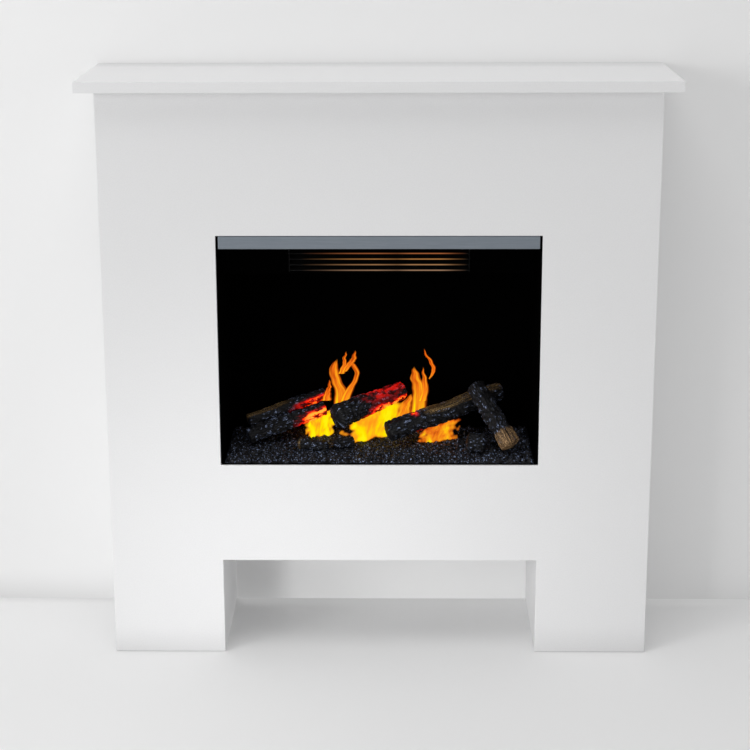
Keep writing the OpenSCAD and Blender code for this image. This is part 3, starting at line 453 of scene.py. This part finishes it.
def scatter_tree(shapes, mat):
    """Geometry nodes: strews the shapes over a surface, each turned and sized at random."""
    tree = bpy.data.node_groups.new("strew_cinders", "GeometryNodeTree")
    face = tree.interface
    face.new_socket("Ground", in_out="INPUT", socket_type="NodeSocketGeometry")
    inputs = {}
    for label, kind in (("Density", "NodeSocketFloat"), ("Smallest", "NodeSocketFloat"),
                        ("Largest", "NodeSocketFloat"), ("Seed", "NodeSocketInt")):
        inputs[label] = face.new_socket(label, in_out="INPUT", socket_type=kind).identifier
    face.new_socket("Cinders", in_out="OUTPUT", socket_type="NodeSocketGeometry")
    link = tree.links.new
    start = tree.nodes.new("NodeGroupInput")
    end = tree.nodes.new("NodeGroupOutput")
    strew = tree.nodes.new("GeometryNodeDistributePointsOnFaces")
    link(start.outputs["Ground"], strew.inputs["Mesh"])
    link(start.outputs["Density"], strew.inputs["Density"])
    link(start.outputs["Seed"], strew.inputs["Seed"])
    gather = tree.nodes.new("GeometryNodeJoinGeometry")
    for shape in reversed(shapes):
        info = tree.nodes.new("GeometryNodeObjectInfo")
        info.inputs["Object"].default_value = shape
        info.inputs["As Instance"].default_value = True
        link(info.outputs["Geometry"], gather.inputs["Geometry"])
    place = tree.nodes.new("GeometryNodeInstanceOnPoints")
    place.inputs["Pick Instance"].default_value = True
    turn = tree.nodes.new("FunctionNodeRandomValue")
    turn.data_type = "FLOAT_VECTOR"
    turn.inputs["Max"].default_value = (math.tau, math.tau, math.tau)
    size = tree.nodes.new("FunctionNodeRandomValue")
    link(start.outputs["Smallest"], size.inputs[2])
    link(start.outputs["Largest"], size.inputs[3])
    link(start.outputs["Seed"], turn.inputs["Seed"])
    link(start.outputs["Seed"], size.inputs["Seed"])
    link(strew.outputs["Points"], place.inputs["Points"])
    link(gather.outputs["Geometry"], place.inputs["Instance"])
    link(turn.outputs["Value"], place.inputs["Rotation"])
    link(size.outputs[1], place.inputs["Scale"])
    real = tree.nodes.new("GeometryNodeRealizeInstances")
    coat = tree.nodes.new("GeometryNodeSetMaterial")
    coat.inputs["Material"].default_value = mat
    link(place.outputs["Instances"], real.inputs["Geometry"])
    link(real.outputs["Geometry"], coat.inputs["Geometry"])
    link(coat.outputs["Geometry"], end.inputs["Cinders"])
    return tree, inputs


def strewn(name, ground, tree, inputs, values):
    """Runs the tree on a ground mesh and returns the result as a plain mesh piece."""
    modifier = ground.modifiers.new("cinders", "NODES")
    modifier.node_group = tree
    for label, value in values.items():
        modifier[inputs[label]] = value
    ground.update_tag()
    graph = bpy.context.evaluated_depsgraph_get()
    mesh = bpy.data.meshes.new_from_object(ground.evaluated_get(graph))
    ground.modifiers.remove(modifier)
    piece = bpy.data.objects.new(name, mesh)
    scene.collection.objects.link(piece)
    return piece


def crumb_ground():
    """The area that the cinders cover: the bed's top, a little inside its edges."""
    low, high = (Vector(c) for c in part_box("ember_bed"))
    form = bmesh.new()
    steps = 40
    grid = [[form.verts.new((low.x + 0.006 + (high.x - low.x - 0.012) * i / steps,
                             low.y + 0.005 + (high.y - low.y - 0.010) * j / steps,
                             high.z - 0.0035 + 0.0016 * uneven(i, j, 2.6, 5.0)))
             for i in range(steps + 1)] for j in range(steps + 1)]
    for j in range(steps):
        for i in range(steps):
            form.faces.new((grid[j][i], grid[j][i + 1], grid[j + 1][i + 1], grid[j + 1][i]))
    mesh = bpy.data.meshes.new("crumb_ground")
    form.to_mesh(mesh)
    form.free()
    ground = bpy.data.objects.new("crumb_ground", mesh)
    scene.collection.objects.link(ground)
    area = (high.x - low.x) * (high.y - low.y)
    return ground, area


crumb_black = cinder_finish("crumb_black", 0.58, 0.70)
crumb_shapes = [crumb_shape(seed) for seed in (1.7, 4.2, 9.5)]
crumb_tree, crumb_inputs = scatter_tree(crumb_shapes, crumb_black)
ground, ground_area = crumb_ground()
crumbs = strewn("ember_cinders", ground, crumb_tree, crumb_inputs,
                {"Density": CRUMB_COUNT / ground_area, "Smallest": CRUMB_SMALL,
                 "Largest": CRUMB_LARGE, "Seed": 7})
for spent in (ground, *crumb_shapes):
    bpy.data.objects.remove(spent)
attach(crumbs, "fuel_bed")


# ---- logs ---------------------------------------------------------------------------------
# Moulded resin logs, cast from charred wood and painted by hand: black checked char with
# blue-grey ash and painted highlights on its edges, brown bark where the fire has not reached,
# and red where a painted glow stands in for light, as the logs hold no lamp.

LOG_SIDES = 120
LOG_RINGS = 150


def smooth_step(low, high, value):
    t = min(1.0, max(0.0, (value - low) / (high - low)))
    return t * t * (3 - 2 * t)


def log_piece(name, start, end, start_r, end_r, seed, square=0.0, bark=None, painted_glow=None,
              crack=0.0028, flat_top=0.0):
    """A charred log from start to end, with its three paint masks stored on its points."""
    start, end = Vector(start), Vector(end)
    length = (end - start).length
    along = (end - start).normalized()
    across = Vector((0, 0, 1)).cross(along).normalized()
    up = along.cross(across)
    form = bmesh.new()
    masks = []
    rings = []
    for i in range(LOG_RINGS + 1):
        t = i / LOG_RINGS
        s = t * length
        radius = start_r + (end_r - start_r) * t
        cap = min(s, length - s) / (0.30 * radius)
        cap_scale = math.sqrt(max(0.0, 1 - (1 - min(1.0, cap)) ** 2))
        bend = 0.10 * radius * Vector((0, noise.noise(Vector((s / 0.09, seed, 1))),
                                       noise.noise(Vector((s / 0.08, seed, 5)))))
        ring = []
        for k in range(LOG_SIDES):
            a = math.tau * k / LOG_SIDES
            ca, sa = math.cos(a), math.sin(a)
            out = across * ca + up * sa
            big = noise.noise(Vector((s / 0.045, ca * 1.1 + seed, sa * 1.1)))
            mid = noise.noise(Vector((s / 0.014, ca * 2.6 + seed, sa * 2.6)))
            fine = noise.noise(Vector((s / 0.004, ca * 9 + seed, sa * 9)))
            grain = noise.noise(Vector((s / 0.030, ca * 11 + seed, sa * 11)))
            cell = noise.voronoi(Vector((s / 0.016 + 0.25 * big, ca * radius / 0.009 + seed,
                                         sa * radius / 0.009 + 0.3 * mid)))[0]
            edge = cell[1] - cell[0]
            gap = 1 - smooth_step(0.0, 0.34, edge)
            barky = bark(t, ca, sa) if bark else 0.0
            shape = 1 + 0.07 * big + 0.035 * mid
            if square:
                shape *= 1 / max(abs(ca), abs(sa)) ** square * (1 - 0.10 * square)
            if flat_top and sa > flat_top:
                shape *= flat_top / sa
            depth = crack * gap * (1 - 0.75 * barky) - 0.0007 * fine
            depth -= 0.0011 * barky * grain
            r = (radius * shape - depth - 0.0010) * cap_scale
            spot = cap_scale * radius / 0.006
            broken = 0.0030 * noise.noise(Vector((ca * spot, sa * spot, seed))) * (1 - cap_scale)
            point = start + along * (s + broken) + out * r + across * bend.y + up * bend.z
            ring.append(form.verts.new(point))
            # Ash on the raised cells' edges, in a blue-white that is partly a painted highlight.
            ash_and_highlight = smooth_step(0.05, 0.45, fine + 0.5 * mid) * smooth_step(0.16, 0.42, edge)
            # The painted glow: red light painted onto the resin, though the log holds no lamp.
            painted_glow_level = painted_glow(t, ca, sa) if painted_glow else 0.0
            painted_glow_level *= smooth_step(-0.35, 0.35, mid + 0.5 * fine) * 0.8 + 0.2
            ash_and_highlight *= 1 - 0.8 * min(1.0, 2 * painted_glow_level)
            masks.append((ash_and_highlight, barky * smooth_step(-0.5, 0.3, grain), painted_glow_level))
        rings.append(ring)
    for i in range(LOG_RINGS):
        for k in range(LOG_SIDES):
            m = (k + 1) % LOG_SIDES
            form.faces.new((rings[i][k], rings[i][m], rings[i + 1][m], rings[i + 1][k]))
    form.verts.index_update()
    bmesh.ops.remove_doubles(form, verts=rings[0] + rings[-1], dist=1e-5)
    bmesh.ops.recalc_face_normals(form, faces=form.faces)
    # Merging the end points drops some, so each mask is looked up by its point.
    lookup = {}
    for ring_index, ring in enumerate(rings):
        for k, vert in enumerate(ring):
            if vert.is_valid:
                lookup[vert] = masks[ring_index * LOG_SIDES + k]
    form.verts.index_update()
    ordered = [lookup.get(v, (0.0, 0.0, 0.0)) for v in form.verts]
    mesh = bpy.data.meshes.new(name)
    form.to_mesh(mesh)
    form.free()
    for index, label in enumerate(("ash_and_highlight", "bark", "painted_glow_mask")):
        layer = mesh.attributes.new(label, "FLOAT", "POINT")
        layer.data.foreach_set("value", [m[index] for m in ordered])
    piece = bpy.data.objects.new(name, mesh)
    scene.collection.objects.link(piece)
    return piece


def log_finish(name, bark_dark, bark_light, painted_glow_strength):
    """Char, ash with painted highlights, bark and painted glow, mixed by the masks on the log's
    points.
    """
    mat, tree, shader, add = new_material(name)
    link = tree.links.new

    def mask(label):
        node = add("ShaderNodeAttribute", attribute_name=label)
        return node.outputs["Fac"]

    def blend_colour(factor, low, high):
        node = add("ShaderNodeMix", data_type="RGBA")
        link(factor, node.inputs[0])
        for socket, value in ((node.inputs[6], low), (node.inputs[7], high)):
            if isinstance(value, tuple):
                socket.default_value = (*value, 1)
            else:
                link(value, socket)
        return node.outputs[2]

    place = add("ShaderNodeTexCoord")
    speck = add("ShaderNodeTexNoise")
    speck.inputs["Scale"].default_value = 650.0
    speck.inputs["Detail"].default_value = 5.0
    link(place.outputs["Object"], speck.inputs["Vector"])
    spots = add("ShaderNodeMapRange")
    spots.inputs["From Min"].default_value = 0.46
    spots.inputs["From Max"].default_value = 0.62
    link(speck.outputs["Fac"], spots.inputs["Value"])
    ash_and_highlight_amount = add("ShaderNodeMath", operation="MULTIPLY")
    link(spots.outputs["Result"], ash_and_highlight_amount.inputs[0])
    link(mask("ash_and_highlight"), ash_and_highlight_amount.inputs[1])
    # The blue-white spots are ash paint and partly a painted highlight.
    char = blend_colour(ash_and_highlight_amount.outputs["Value"], (0.0035, 0.0035, 0.0045), (0.42, 0.52, 0.82))
    brown = blend_colour(spots.outputs["Result"], bark_dark, bark_light)
    skin = blend_colour(mask("bark"), char, brown)
    link(skin, shader.inputs["Base Color"])
    # Painted glow: emission on a log that holds no lamp.
    painted_glow_level = add("ShaderNodeValToRGB")
    painted_glow_level.color_ramp.elements[0].color = (0.0, 0.0, 0.0, 1)
    painted_glow_level.color_ramp.elements[0].position = 0.05
    painted_glow_level.color_ramp.elements[1].color = (1.0, 0.30, 0.02, 1)
    for where, colour in ((0.25, (0.10, 0.0, 0.0, 1)), (0.6, (0.62, 0.006, 0.0, 1))):
        painted_glow_level.color_ramp.elements.new(where).color = colour
    link(mask("painted_glow_mask"), painted_glow_level.inputs["Fac"])
    link(painted_glow_level.outputs["Color"], shader.inputs["Emission Color"])
    shader.inputs["Emission Strength"].default_value = painted_glow_strength
    shader.inputs["Roughness"].default_value = 0.6
    shader.inputs["Specular IOR Level"].default_value = 0.25
    bump = add("ShaderNodeBump")
    bump.inputs["Strength"].default_value = 0.6
    bump.inputs["Distance"].default_value = 0.0008
    link(speck.outputs["Fac"], bump.inputs["Height"])
    link(bump.outputs["Normal"], shader.inputs["Normal"])
    return mat


log_paint = log_finish("log_paint", (0.030, 0.016, 0.006), (0.40, 0.25, 0.09), 1.6)
sawn_paint = log_finish("sawn_paint", (0.12, 0.060, 0.022), (0.62, 0.40, 0.20), 1.0)

LOGS = (
    dict(name="log_left_split", start=(-0.252, 0.010, 0.4200), end=(-0.104, 0.068, 0.459),
         start_r=0.0165, end_r=0.0140, seed=11.0, flat_top=0.72,
         bark=lambda t, ca, sa: smooth_step(0.62, 0.8, sa) * smooth_step(0.62, 0.45, t),
         painted_glow=lambda t, ca, sa: 0.75 * smooth_step(0.40, 0.85, t) * smooth_step(0.7, 0.0, sa)),
    dict(name="log_left_round", start=(-0.251, -0.014, 0.3965), end=(-0.104, 0.040, 0.438),
         start_r=0.0170, end_r=0.0155, seed=23.0,
         painted_glow=lambda t, ca, sa: smooth_step(0.50, 0.80, t) * smooth_step(0.9, 0.1, sa)),
    dict(name="log_centre_finished", start=(-0.084, -0.036, 0.4400), end=(0.045, 0.057, 0.469),
         start_r=0.0265, end_r=0.0185, seed=37.0,
         painted_glow=lambda t, ca, sa: smooth_step(0.22, 0.6, t)
         * (0.42 * smooth_step(-0.2, 0.8, sa) + 0.95 * smooth_step(0.25, -0.5, sa))),
    dict(name="log_right_finished", start=(0.013, -0.034, 0.4105), end=(0.234, 0.055, 0.468),
         start_r=0.0215, end_r=0.0195, seed=51.0, flat_top=0.9,
         bark=lambda t, ca, sa: smooth_step(0.30, 0.38, t) * smooth_step(0.15, 0.5, sa + 0.3 * ca),
         painted_glow=lambda t, ca, sa: 0.8 * smooth_step(0.045, 0.0, abs(t - 0.25))
         * smooth_step(0.9, 0.2, abs(ca))),
    dict(name="log_cross_finished", start=(0.178, 0.007, 0.4940), end=(0.2455, -0.073, 0.3950),
         start_r=0.0175, end_r=0.0180, seed=67.0, square=0.55,
         bark=lambda t, ca, sa: smooth_step(0.74, 0.79, t)),
)
# The left log is one CAD node in two pieces, so only its first piece stands for the node.
REPLACED = {"log_left_split": "log_left", "log_centre_finished": "log_centre",
            "log_right_finished": "log_right", "log_cross_finished": "log_cross"}

for facts in LOGS:
    log = log_piece(**facts)
    finish_piece(log, sawn_paint if "cross" in facts["name"] else log_paint, smooth=True)
    if facts["name"] in REPLACED:
        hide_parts(REPLACED[facts["name"]])
    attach(log, "fuel_bed")


# ---- ember chunks -------------------------------------------------------------------------
# Three short pieces of charred branch on the bed: one with a sawn tan end, one under the middle
# log, and a lump on the right, blue with ash and painted highlights.

CHUNKS = (
    dict(name="chunk_left", start=(-0.153, -0.034, 0.3895), end=(-0.096, -0.053, 0.3875),
         start_r=0.0120, end_r=0.0110, seed=71.0, bark=lambda t, ca, sa: smooth_step(0.14, 0.08, t)),
    dict(name="chunk_middle", start=(-0.087, -0.037, 0.3895), end=(-0.048, -0.027, 0.3890),
         start_r=0.0135, end_r=0.0120, seed=83.0),
    dict(name="chunk_right", start=(0.162, -0.046, 0.3935), end=(0.199, -0.050, 0.3920),
         start_r=0.0230, end_r=0.0205, seed=97.0),
)
for order, facts in enumerate(CHUNKS):
    chunk = log_piece(**facts)
    finish_piece(chunk, log_paint, smooth=True)
    if order == 0:
        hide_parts("ember_chunks")
    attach(chunk, "fuel_bed")


# ---- fire ---------------------------------------------------------------------------------
# Lit water mist. Thick and yellow where the lamps shine into it under the logs, and thin and
# orange where it rises past them.

def fire_finish(name, gain):
    """Bright streaks by the mesh's own map: u across the fire, v up it. Its edge is clear."""
    mat, tree, shader, add = new_material(name)
    link = tree.links.new
    where = add("ShaderNodeUVMap", uv_map="fire")
    stretch = add("ShaderNodeMapping")
    stretch.inputs["Scale"].default_value = (5.0, 1.1, 1.0)
    link(where.outputs["UV"], stretch.inputs["Vector"])
    streak = add("ShaderNodeTexNoise")
    streak.inputs["Scale"].default_value = 1.0
    streak.inputs["Detail"].default_value = 3.0
    streak.inputs["Distortion"].default_value = 0.5
    link(stretch.outputs["Vector"], streak.inputs["Vector"])
    body = add("ShaderNodeAttribute", attribute_name="body")
    warmth = add("ShaderNodeAttribute", attribute_name="warmth")
    sum_up = add("ShaderNodeMath", operation="ADD")
    drift = add("ShaderNodeMapRange")
    drift.inputs["From Min"].default_value = 0.25
    drift.inputs["From Max"].default_value = 0.75
    drift.inputs["To Min"].default_value = -0.42
    drift.inputs["To Max"].default_value = 0.42
    link(streak.outputs["Fac"], drift.inputs["Value"])
    link(warmth.outputs["Fac"], sum_up.inputs[0])
    link(drift.outputs["Result"], sum_up.inputs[1])
    colour = add("ShaderNodeValToRGB")
    stops = ((0.0, (0.10, 0.004, 0.0)), (0.22, (0.55, 0.05, 0.0)), (0.45, (1.0, 0.20, 0.01)),
             (0.68, (1.0, 0.40, 0.01)), (0.85, (1.0, 0.74, 0.0)), (1.0, (1.0, 0.88, 0.005)))
    while len(colour.color_ramp.elements) < len(stops):
        colour.color_ramp.elements.new(0.5)
    for element, (at, tone) in zip(colour.color_ramp.elements, stops):
        element.position = at
        element.color = (*tone, 1)
    link(sum_up.outputs["Value"], colour.inputs["Fac"])
    link(colour.outputs["Color"], shader.inputs["Emission Color"])
    shader.inputs["Emission Strength"].default_value = gain
    shader.inputs["Base Color"].default_value = (0.0, 0.0, 0.0, 1)
    shader.inputs["Specular IOR Level"].default_value = 0.0
    shader.inputs["Roughness"].default_value = 1.0
    thick = add("ShaderNodeMath", operation="ADD", use_clamp=True)
    link(body.outputs["Fac"], thick.inputs[0])
    spread = add("ShaderNodeMath", operation="MULTIPLY")
    link(drift.outputs["Result"], spread.inputs[0])
    spread.inputs[1].default_value = 1.25
    link(spread.outputs["Value"], thick.inputs[1])
    link(thick.outputs["Value"], shader.inputs["Alpha"])
    return mat


flame_paint = fire_finish("flame_paint", 1.0)
SHEET_HALF = 0.0012
TONGUE_BULGE = 0.006


def fire_sheet(name, columns, rows, surface):
    """A thin two-sided sheet. surface(u, v) gives its place, its density and its warmth."""
    thin = Vector((0.0, SHEET_HALF, 0.0))
    form = bmesh.new()
    uv = form.loops.layers.uv.new("fire")
    front, back, masks = [], [], []
    for layer, offset in ((front, -thin), (back, thin)):
        for j in range(rows + 1):
            row = []
            for i in range(columns + 1):
                u, v = i / columns, j / rows
                place, body, warmth = surface(u, v)
                rim = i in (0, columns) or j in (0, rows)
                row.append(form.verts.new(Vector(place) + (Vector() if rim else offset)))
                masks.append((body, warmth))
            layer.append(row)
    for layer, flip in ((front, False), (back, True)):
        for j in range(rows):
            for i in range(columns):
                corners = [(i, j), (i + 1, j), (i + 1, j + 1), (i, j + 1)]
                if flip:
                    corners.reverse()
                face = form.faces.new([layer[b][a] for a, b in corners])
                for loop, (a, b) in zip(face.loops, corners):
                    loop[uv].uv = (a / columns, b / rows)
    body_layer = form.verts.layers.float.new("body")
    warmth_layer = form.verts.layers.float.new("warmth")
    form.verts.index_update()
    for vert, (body, warmth) in zip(list(form.verts), masks):
        vert[body_layer] = body
        vert[warmth_layer] = warmth
    bmesh.ops.remove_doubles(form, verts=form.verts, dist=1e-6)
    mesh = bpy.data.meshes.new(name)
    form.to_mesh(mesh)
    form.free()
    piece = bpy.data.objects.new(name, mesh)
    scene.collection.objects.link(piece)
    finish_piece(piece, flame_paint, smooth=True)
    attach(piece, "fuel_bed")
    return piece


BED_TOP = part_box("ember_bed")[1][2] - 0.003


def mix(a, b, t):
    return a + (b - a) * t


def fire_under(name, log, t0, t1, warmth, seed, body=1.0, height=1.0):
    """Lit mist from the bed up to the underside of a log, between t0 and t1 along it."""
    start, end = Vector(log["start"]), Vector(log["end"])

    def surface(u, v):
        t = mix(t0, t1, u)
        axis = start.lerp(end, t)
        radius = mix(log["start_r"], log["end_r"], min(t, 1.0))
        top = mix(BED_TOP, axis.z - radius * 0.55, height)
        sway = 0.004 * noise.noise(Vector((u * 6, v * 3, seed)))
        place = (axis.x, axis.y + sway + 0.006 * (1 - v), mix(BED_TOP, top, v))
        ragged = 0.16 * noise.noise(Vector((u * 9, v * 5, seed + 4)))
        fade = smooth_step(0.02, 0.30, min(u, 1 - u) + ragged)
        foot = smooth_step(0.0, 0.16, v + 0.5 * ragged)
        heat = warmth * mix(0.55, 1.0, fade * foot) - 0.20 * smooth_step(0.8, 1.0, v)
        return place, mix(-0.5, 1.25, fade * foot) * body, heat

    return fire_sheet(name, 60, 36, surface)


fire_under("glow_left", LOGS[1], 0.68, 1.16, 0.86, 2.0)
fire_under("glow_centre", LOGS[2], 0.02, 1.14, 0.82, 5.0, body=1.3)
fire_under("glow_right", LOGS[3], 0.22, 0.66, 0.60, 9.0, body=0.6, height=0.8)


def tongue(name, path, widths, warmth, seed, body=0.62):
    """A tongue of flame: a swaying ribbon along path, as wide as widths says, thin at its tip."""
    path = [Vector(p) for p in path]

    def along(values, v):
        place = v * (len(values) - 1)
        i = min(int(place), len(values) - 2)
        f = place - i
        before, a, b = values[max(i - 1, 0)], values[i], values[i + 1]
        after = values[min(i + 2, len(values) - 1)]
        return (a * 2 + (b - before) * f + (before * 2 - a * 5 + b * 4 - after) * f ** 2
                + (a * 3 - before - b * 3 + after) * f ** 3) / 2

    def surface(u, v):
        centre = along(path, v)
        width = along(widths, v)
        side = 2 * u - 1
        ripple = 0.0022 * noise.noise(Vector((v * 7, seed, 0.0)))
        x = centre.x + 1.3 * side * width + ripple
        y = centre.y - TONGUE_BULGE * (1 - side * side)
        edge = 1 - abs(side)
        thin = smooth_step(0.0, 0.85, edge)
        tip = smooth_step(1.0, 0.82, v)
        heat = 0.80 * warmth * (0.25 + 0.75 * thin) * mix(1.0, 0.75, v)
        return (x, y, centre.z), mix(-0.45, 1.30 * body, thin * mix(0.30, 1.0, tip)), heat

    return fire_sheet(name, 22, 60, surface)


TONGUES = (
    # The flame behind the left logs: a main tongue, a loop on its right and two tips.
    dict(name="flame_left_main", warmth=0.80, seed=1.0,
         path=((-0.078, 0.045, 0.432), (-0.074, 0.045, 0.462), (-0.083, 0.045, 0.490),
               (-0.088, 0.045, 0.515), (-0.082, 0.045, 0.534)),
         widths=(0.020, 0.017, 0.0125, 0.0100, 0.0020)),
    dict(name="flame_left_loop", warmth=0.72, seed=2.0,
         path=((-0.070, 0.043, 0.440), (-0.062, 0.043, 0.468), (-0.050, 0.043, 0.486),
               (-0.044, 0.043, 0.504), (-0.049, 0.043, 0.520), (-0.058, 0.043, 0.530)),
         widths=(0.013, 0.0110, 0.0070, 0.0055, 0.0062, 0.0020)),
    dict(name="flame_left_tip", warmth=0.66, seed=3.0,
         path=((-0.068, 0.041, 0.510), (-0.058, 0.041, 0.524), (-0.0505, 0.072, 0.528),
               (-0.048, 0.098, 0.5370)),
         widths=(0.0060, 0.0085, 0.0060, 0.0010)),
    dict(name="flame_left_lick", warmth=0.66, seed=4.0,
         path=((-0.074, 0.044, 0.505), (-0.068, 0.044, 0.522), (-0.068, 0.070, 0.5295),
               (-0.065, 0.092, 0.5365)),
         widths=(0.0085, 0.0055, 0.0035, 0.0008)),
    dict(name="flame_left_small", warmth=0.58, seed=5.0, body=0.8,
         path=((-0.104, 0.050, 0.450), (-0.100, 0.050, 0.466), (-0.097, 0.050, 0.478),
               (-0.096, 0.050, 0.492)),
         widths=(0.0120, 0.0075, 0.0040, 0.0008)),
    # The flame behind the right log: a broad tongue and a thin tip that has broken away.
    dict(name="flame_right_main", warmth=0.84, seed=6.0,
         path=((0.072, 0.048, 0.420), (0.074, 0.048, 0.452), (0.073, 0.048, 0.480),
               (0.066, 0.048, 0.502), (0.064, 0.048, 0.518)),
         widths=(0.019, 0.0185, 0.0150, 0.0095, 0.0020)),
    dict(name="flame_right_side", warmth=0.74, seed=7.0,
         path=((0.080, 0.047, 0.450), (0.086, 0.047, 0.474), (0.084, 0.047, 0.498),
               (0.081, 0.047, 0.518)),
         widths=(0.010, 0.0085, 0.0045, 0.0005)),
    dict(name="flame_right_spark", warmth=0.60, seed=8.0, body=0.85,
         path=((0.094, 0.046, 0.494), (0.101, 0.046, 0.508), (0.0995, 0.066, 0.519),
               (0.0885, 0.086, 0.5295), (0.0845, 0.101, 0.5395)),
         widths=(0.0012, 0.0046, 0.0044, 0.0028, 0.0005)),
    dict(name="flame_middle_low", warmth=0.84, seed=9.0,
         path=((0.036, 0.030, 0.405), (0.045, 0.030, 0.432), (0.052, 0.030, 0.452),
               (0.060, 0.030, 0.470)),
         widths=(0.020, 0.017, 0.011, 0.0010)),
)
for facts in TONGUES:
    tongue(**facts)


# ---- studio -------------------------------------------------------------------------------
# A pale floor with a pale wall close behind the mantel. Soft lamps stand at the left, above,
# low at the left, behind and, weaker, at the right. The wall is seen only from its front.

def stage_plane(name, corners, colour):
    mesh = bpy.data.meshes.new(name)
    mesh.from_pydata(corners, [], [(0, 1, 2, 3)])
    plane = bpy.data.objects.new(name, mesh)
    scene.collection.objects.link(plane)
    mat, tree, shader, add = new_material(name)
    shader.inputs["Base Color"].default_value = (*colour, 1)
    shader.inputs["Roughness"].default_value = 0.9
    shader.inputs["Specular IOR Level"].default_value = 0.1
    side = add("ShaderNodeNewGeometry")
    clear = add("ShaderNodeBsdfTransparent")
    choose = add("ShaderNodeMixShader")
    # Short rays that are not the camera's pass too, so the rear is lit although a wall is near.
    path = add("ShaderNodeLightPath")
    near = add("ShaderNodeMath", operation="LESS_THAN")
    near.inputs[1].default_value = 0.06
    unseen = add("ShaderNodeMath", operation="SUBTRACT")
    unseen.inputs[0].default_value = 1.0
    close = add("ShaderNodeMath", operation="MULTIPLY")
    either = add("ShaderNodeMath", operation="MAXIMUM")
    tree.links.new(path.outputs["Ray Length"], near.inputs[0])
    tree.links.new(path.outputs["Is Camera Ray"], unseen.inputs[1])
    tree.links.new(near.outputs["Value"], close.inputs[0])
    tree.links.new(unseen.outputs["Value"], close.inputs[1])
    tree.links.new(side.outputs["Backfacing"], either.inputs[0])
    tree.links.new(close.outputs["Value"], either.inputs[1])
    tree.links.new(either.outputs["Value"], choose.inputs["Fac"])
    tree.links.new(shader.outputs["BSDF"], choose.inputs[1])
    tree.links.new(clear.outputs["BSDF"], choose.inputs[2])
    tree.links.new(choose.outputs["Shader"], tree.nodes["Material Output"].inputs["Surface"])
    plane.data.materials.append(mat)


WALL_Y = cad_box[1][1] + 0.004
stage_plane("floor", [(-6, -8, 0), (6, -8, 0), (6, 6, 0), (-6, 6, 0)], (0.90, 0.90, 0.90))
stage_plane("wall", [(-6, WALL_Y, 0), (6, WALL_Y, 0), (6, WALL_Y, 5), (-6, WALL_Y, 5)],
            (0.92, 0.92, 0.92))


def soft_light(name, place, target, size, power, spread=math.pi):
    lamp = bpy.data.lights.new(name, "AREA")
    lamp.shape = "DISK"
    lamp.size = size
    lamp.energy = power
    lamp.spread = spread
    light = bpy.data.objects.new(name, lamp)
    light.location = place
    light.rotation_euler = (Vector(target) - Vector(place)).to_track_quat("-Z", "Y").to_euler()
    light.visible_camera = False
    scene.collection.objects.link(light)


soft_light("key_left", (-3.4, -3.0, 1.5), (0, 0, 0.5), 1.8, 50.0)
soft_light("top", (-0.4, -1.4, 4.2), (0, 0.0, 0.4), 2.6, 38.0)
soft_light("low_left", (-1.0, -2.2, 0.16), (0.0, 0.1, 0.09), 0.5, 0.65, spread=0.6)
soft_light("fill_right", (3.2, -2.2, 1.2), (1.0, 0.15, 0.6), 1.6, 6.0)
soft_light("back_left", (-2.5, 3.0, 2.4), (0, 0, 0.6), 2.0, 20.0)

world = bpy.data.worlds.new("studio")
world.use_nodes = True
world.node_tree.nodes["Background"].inputs["Color"].default_value = (1.0, 1.0, 1.0, 1)
world.node_tree.nodes["Background"].inputs["Strength"].default_value = 0.44
scene.world = world
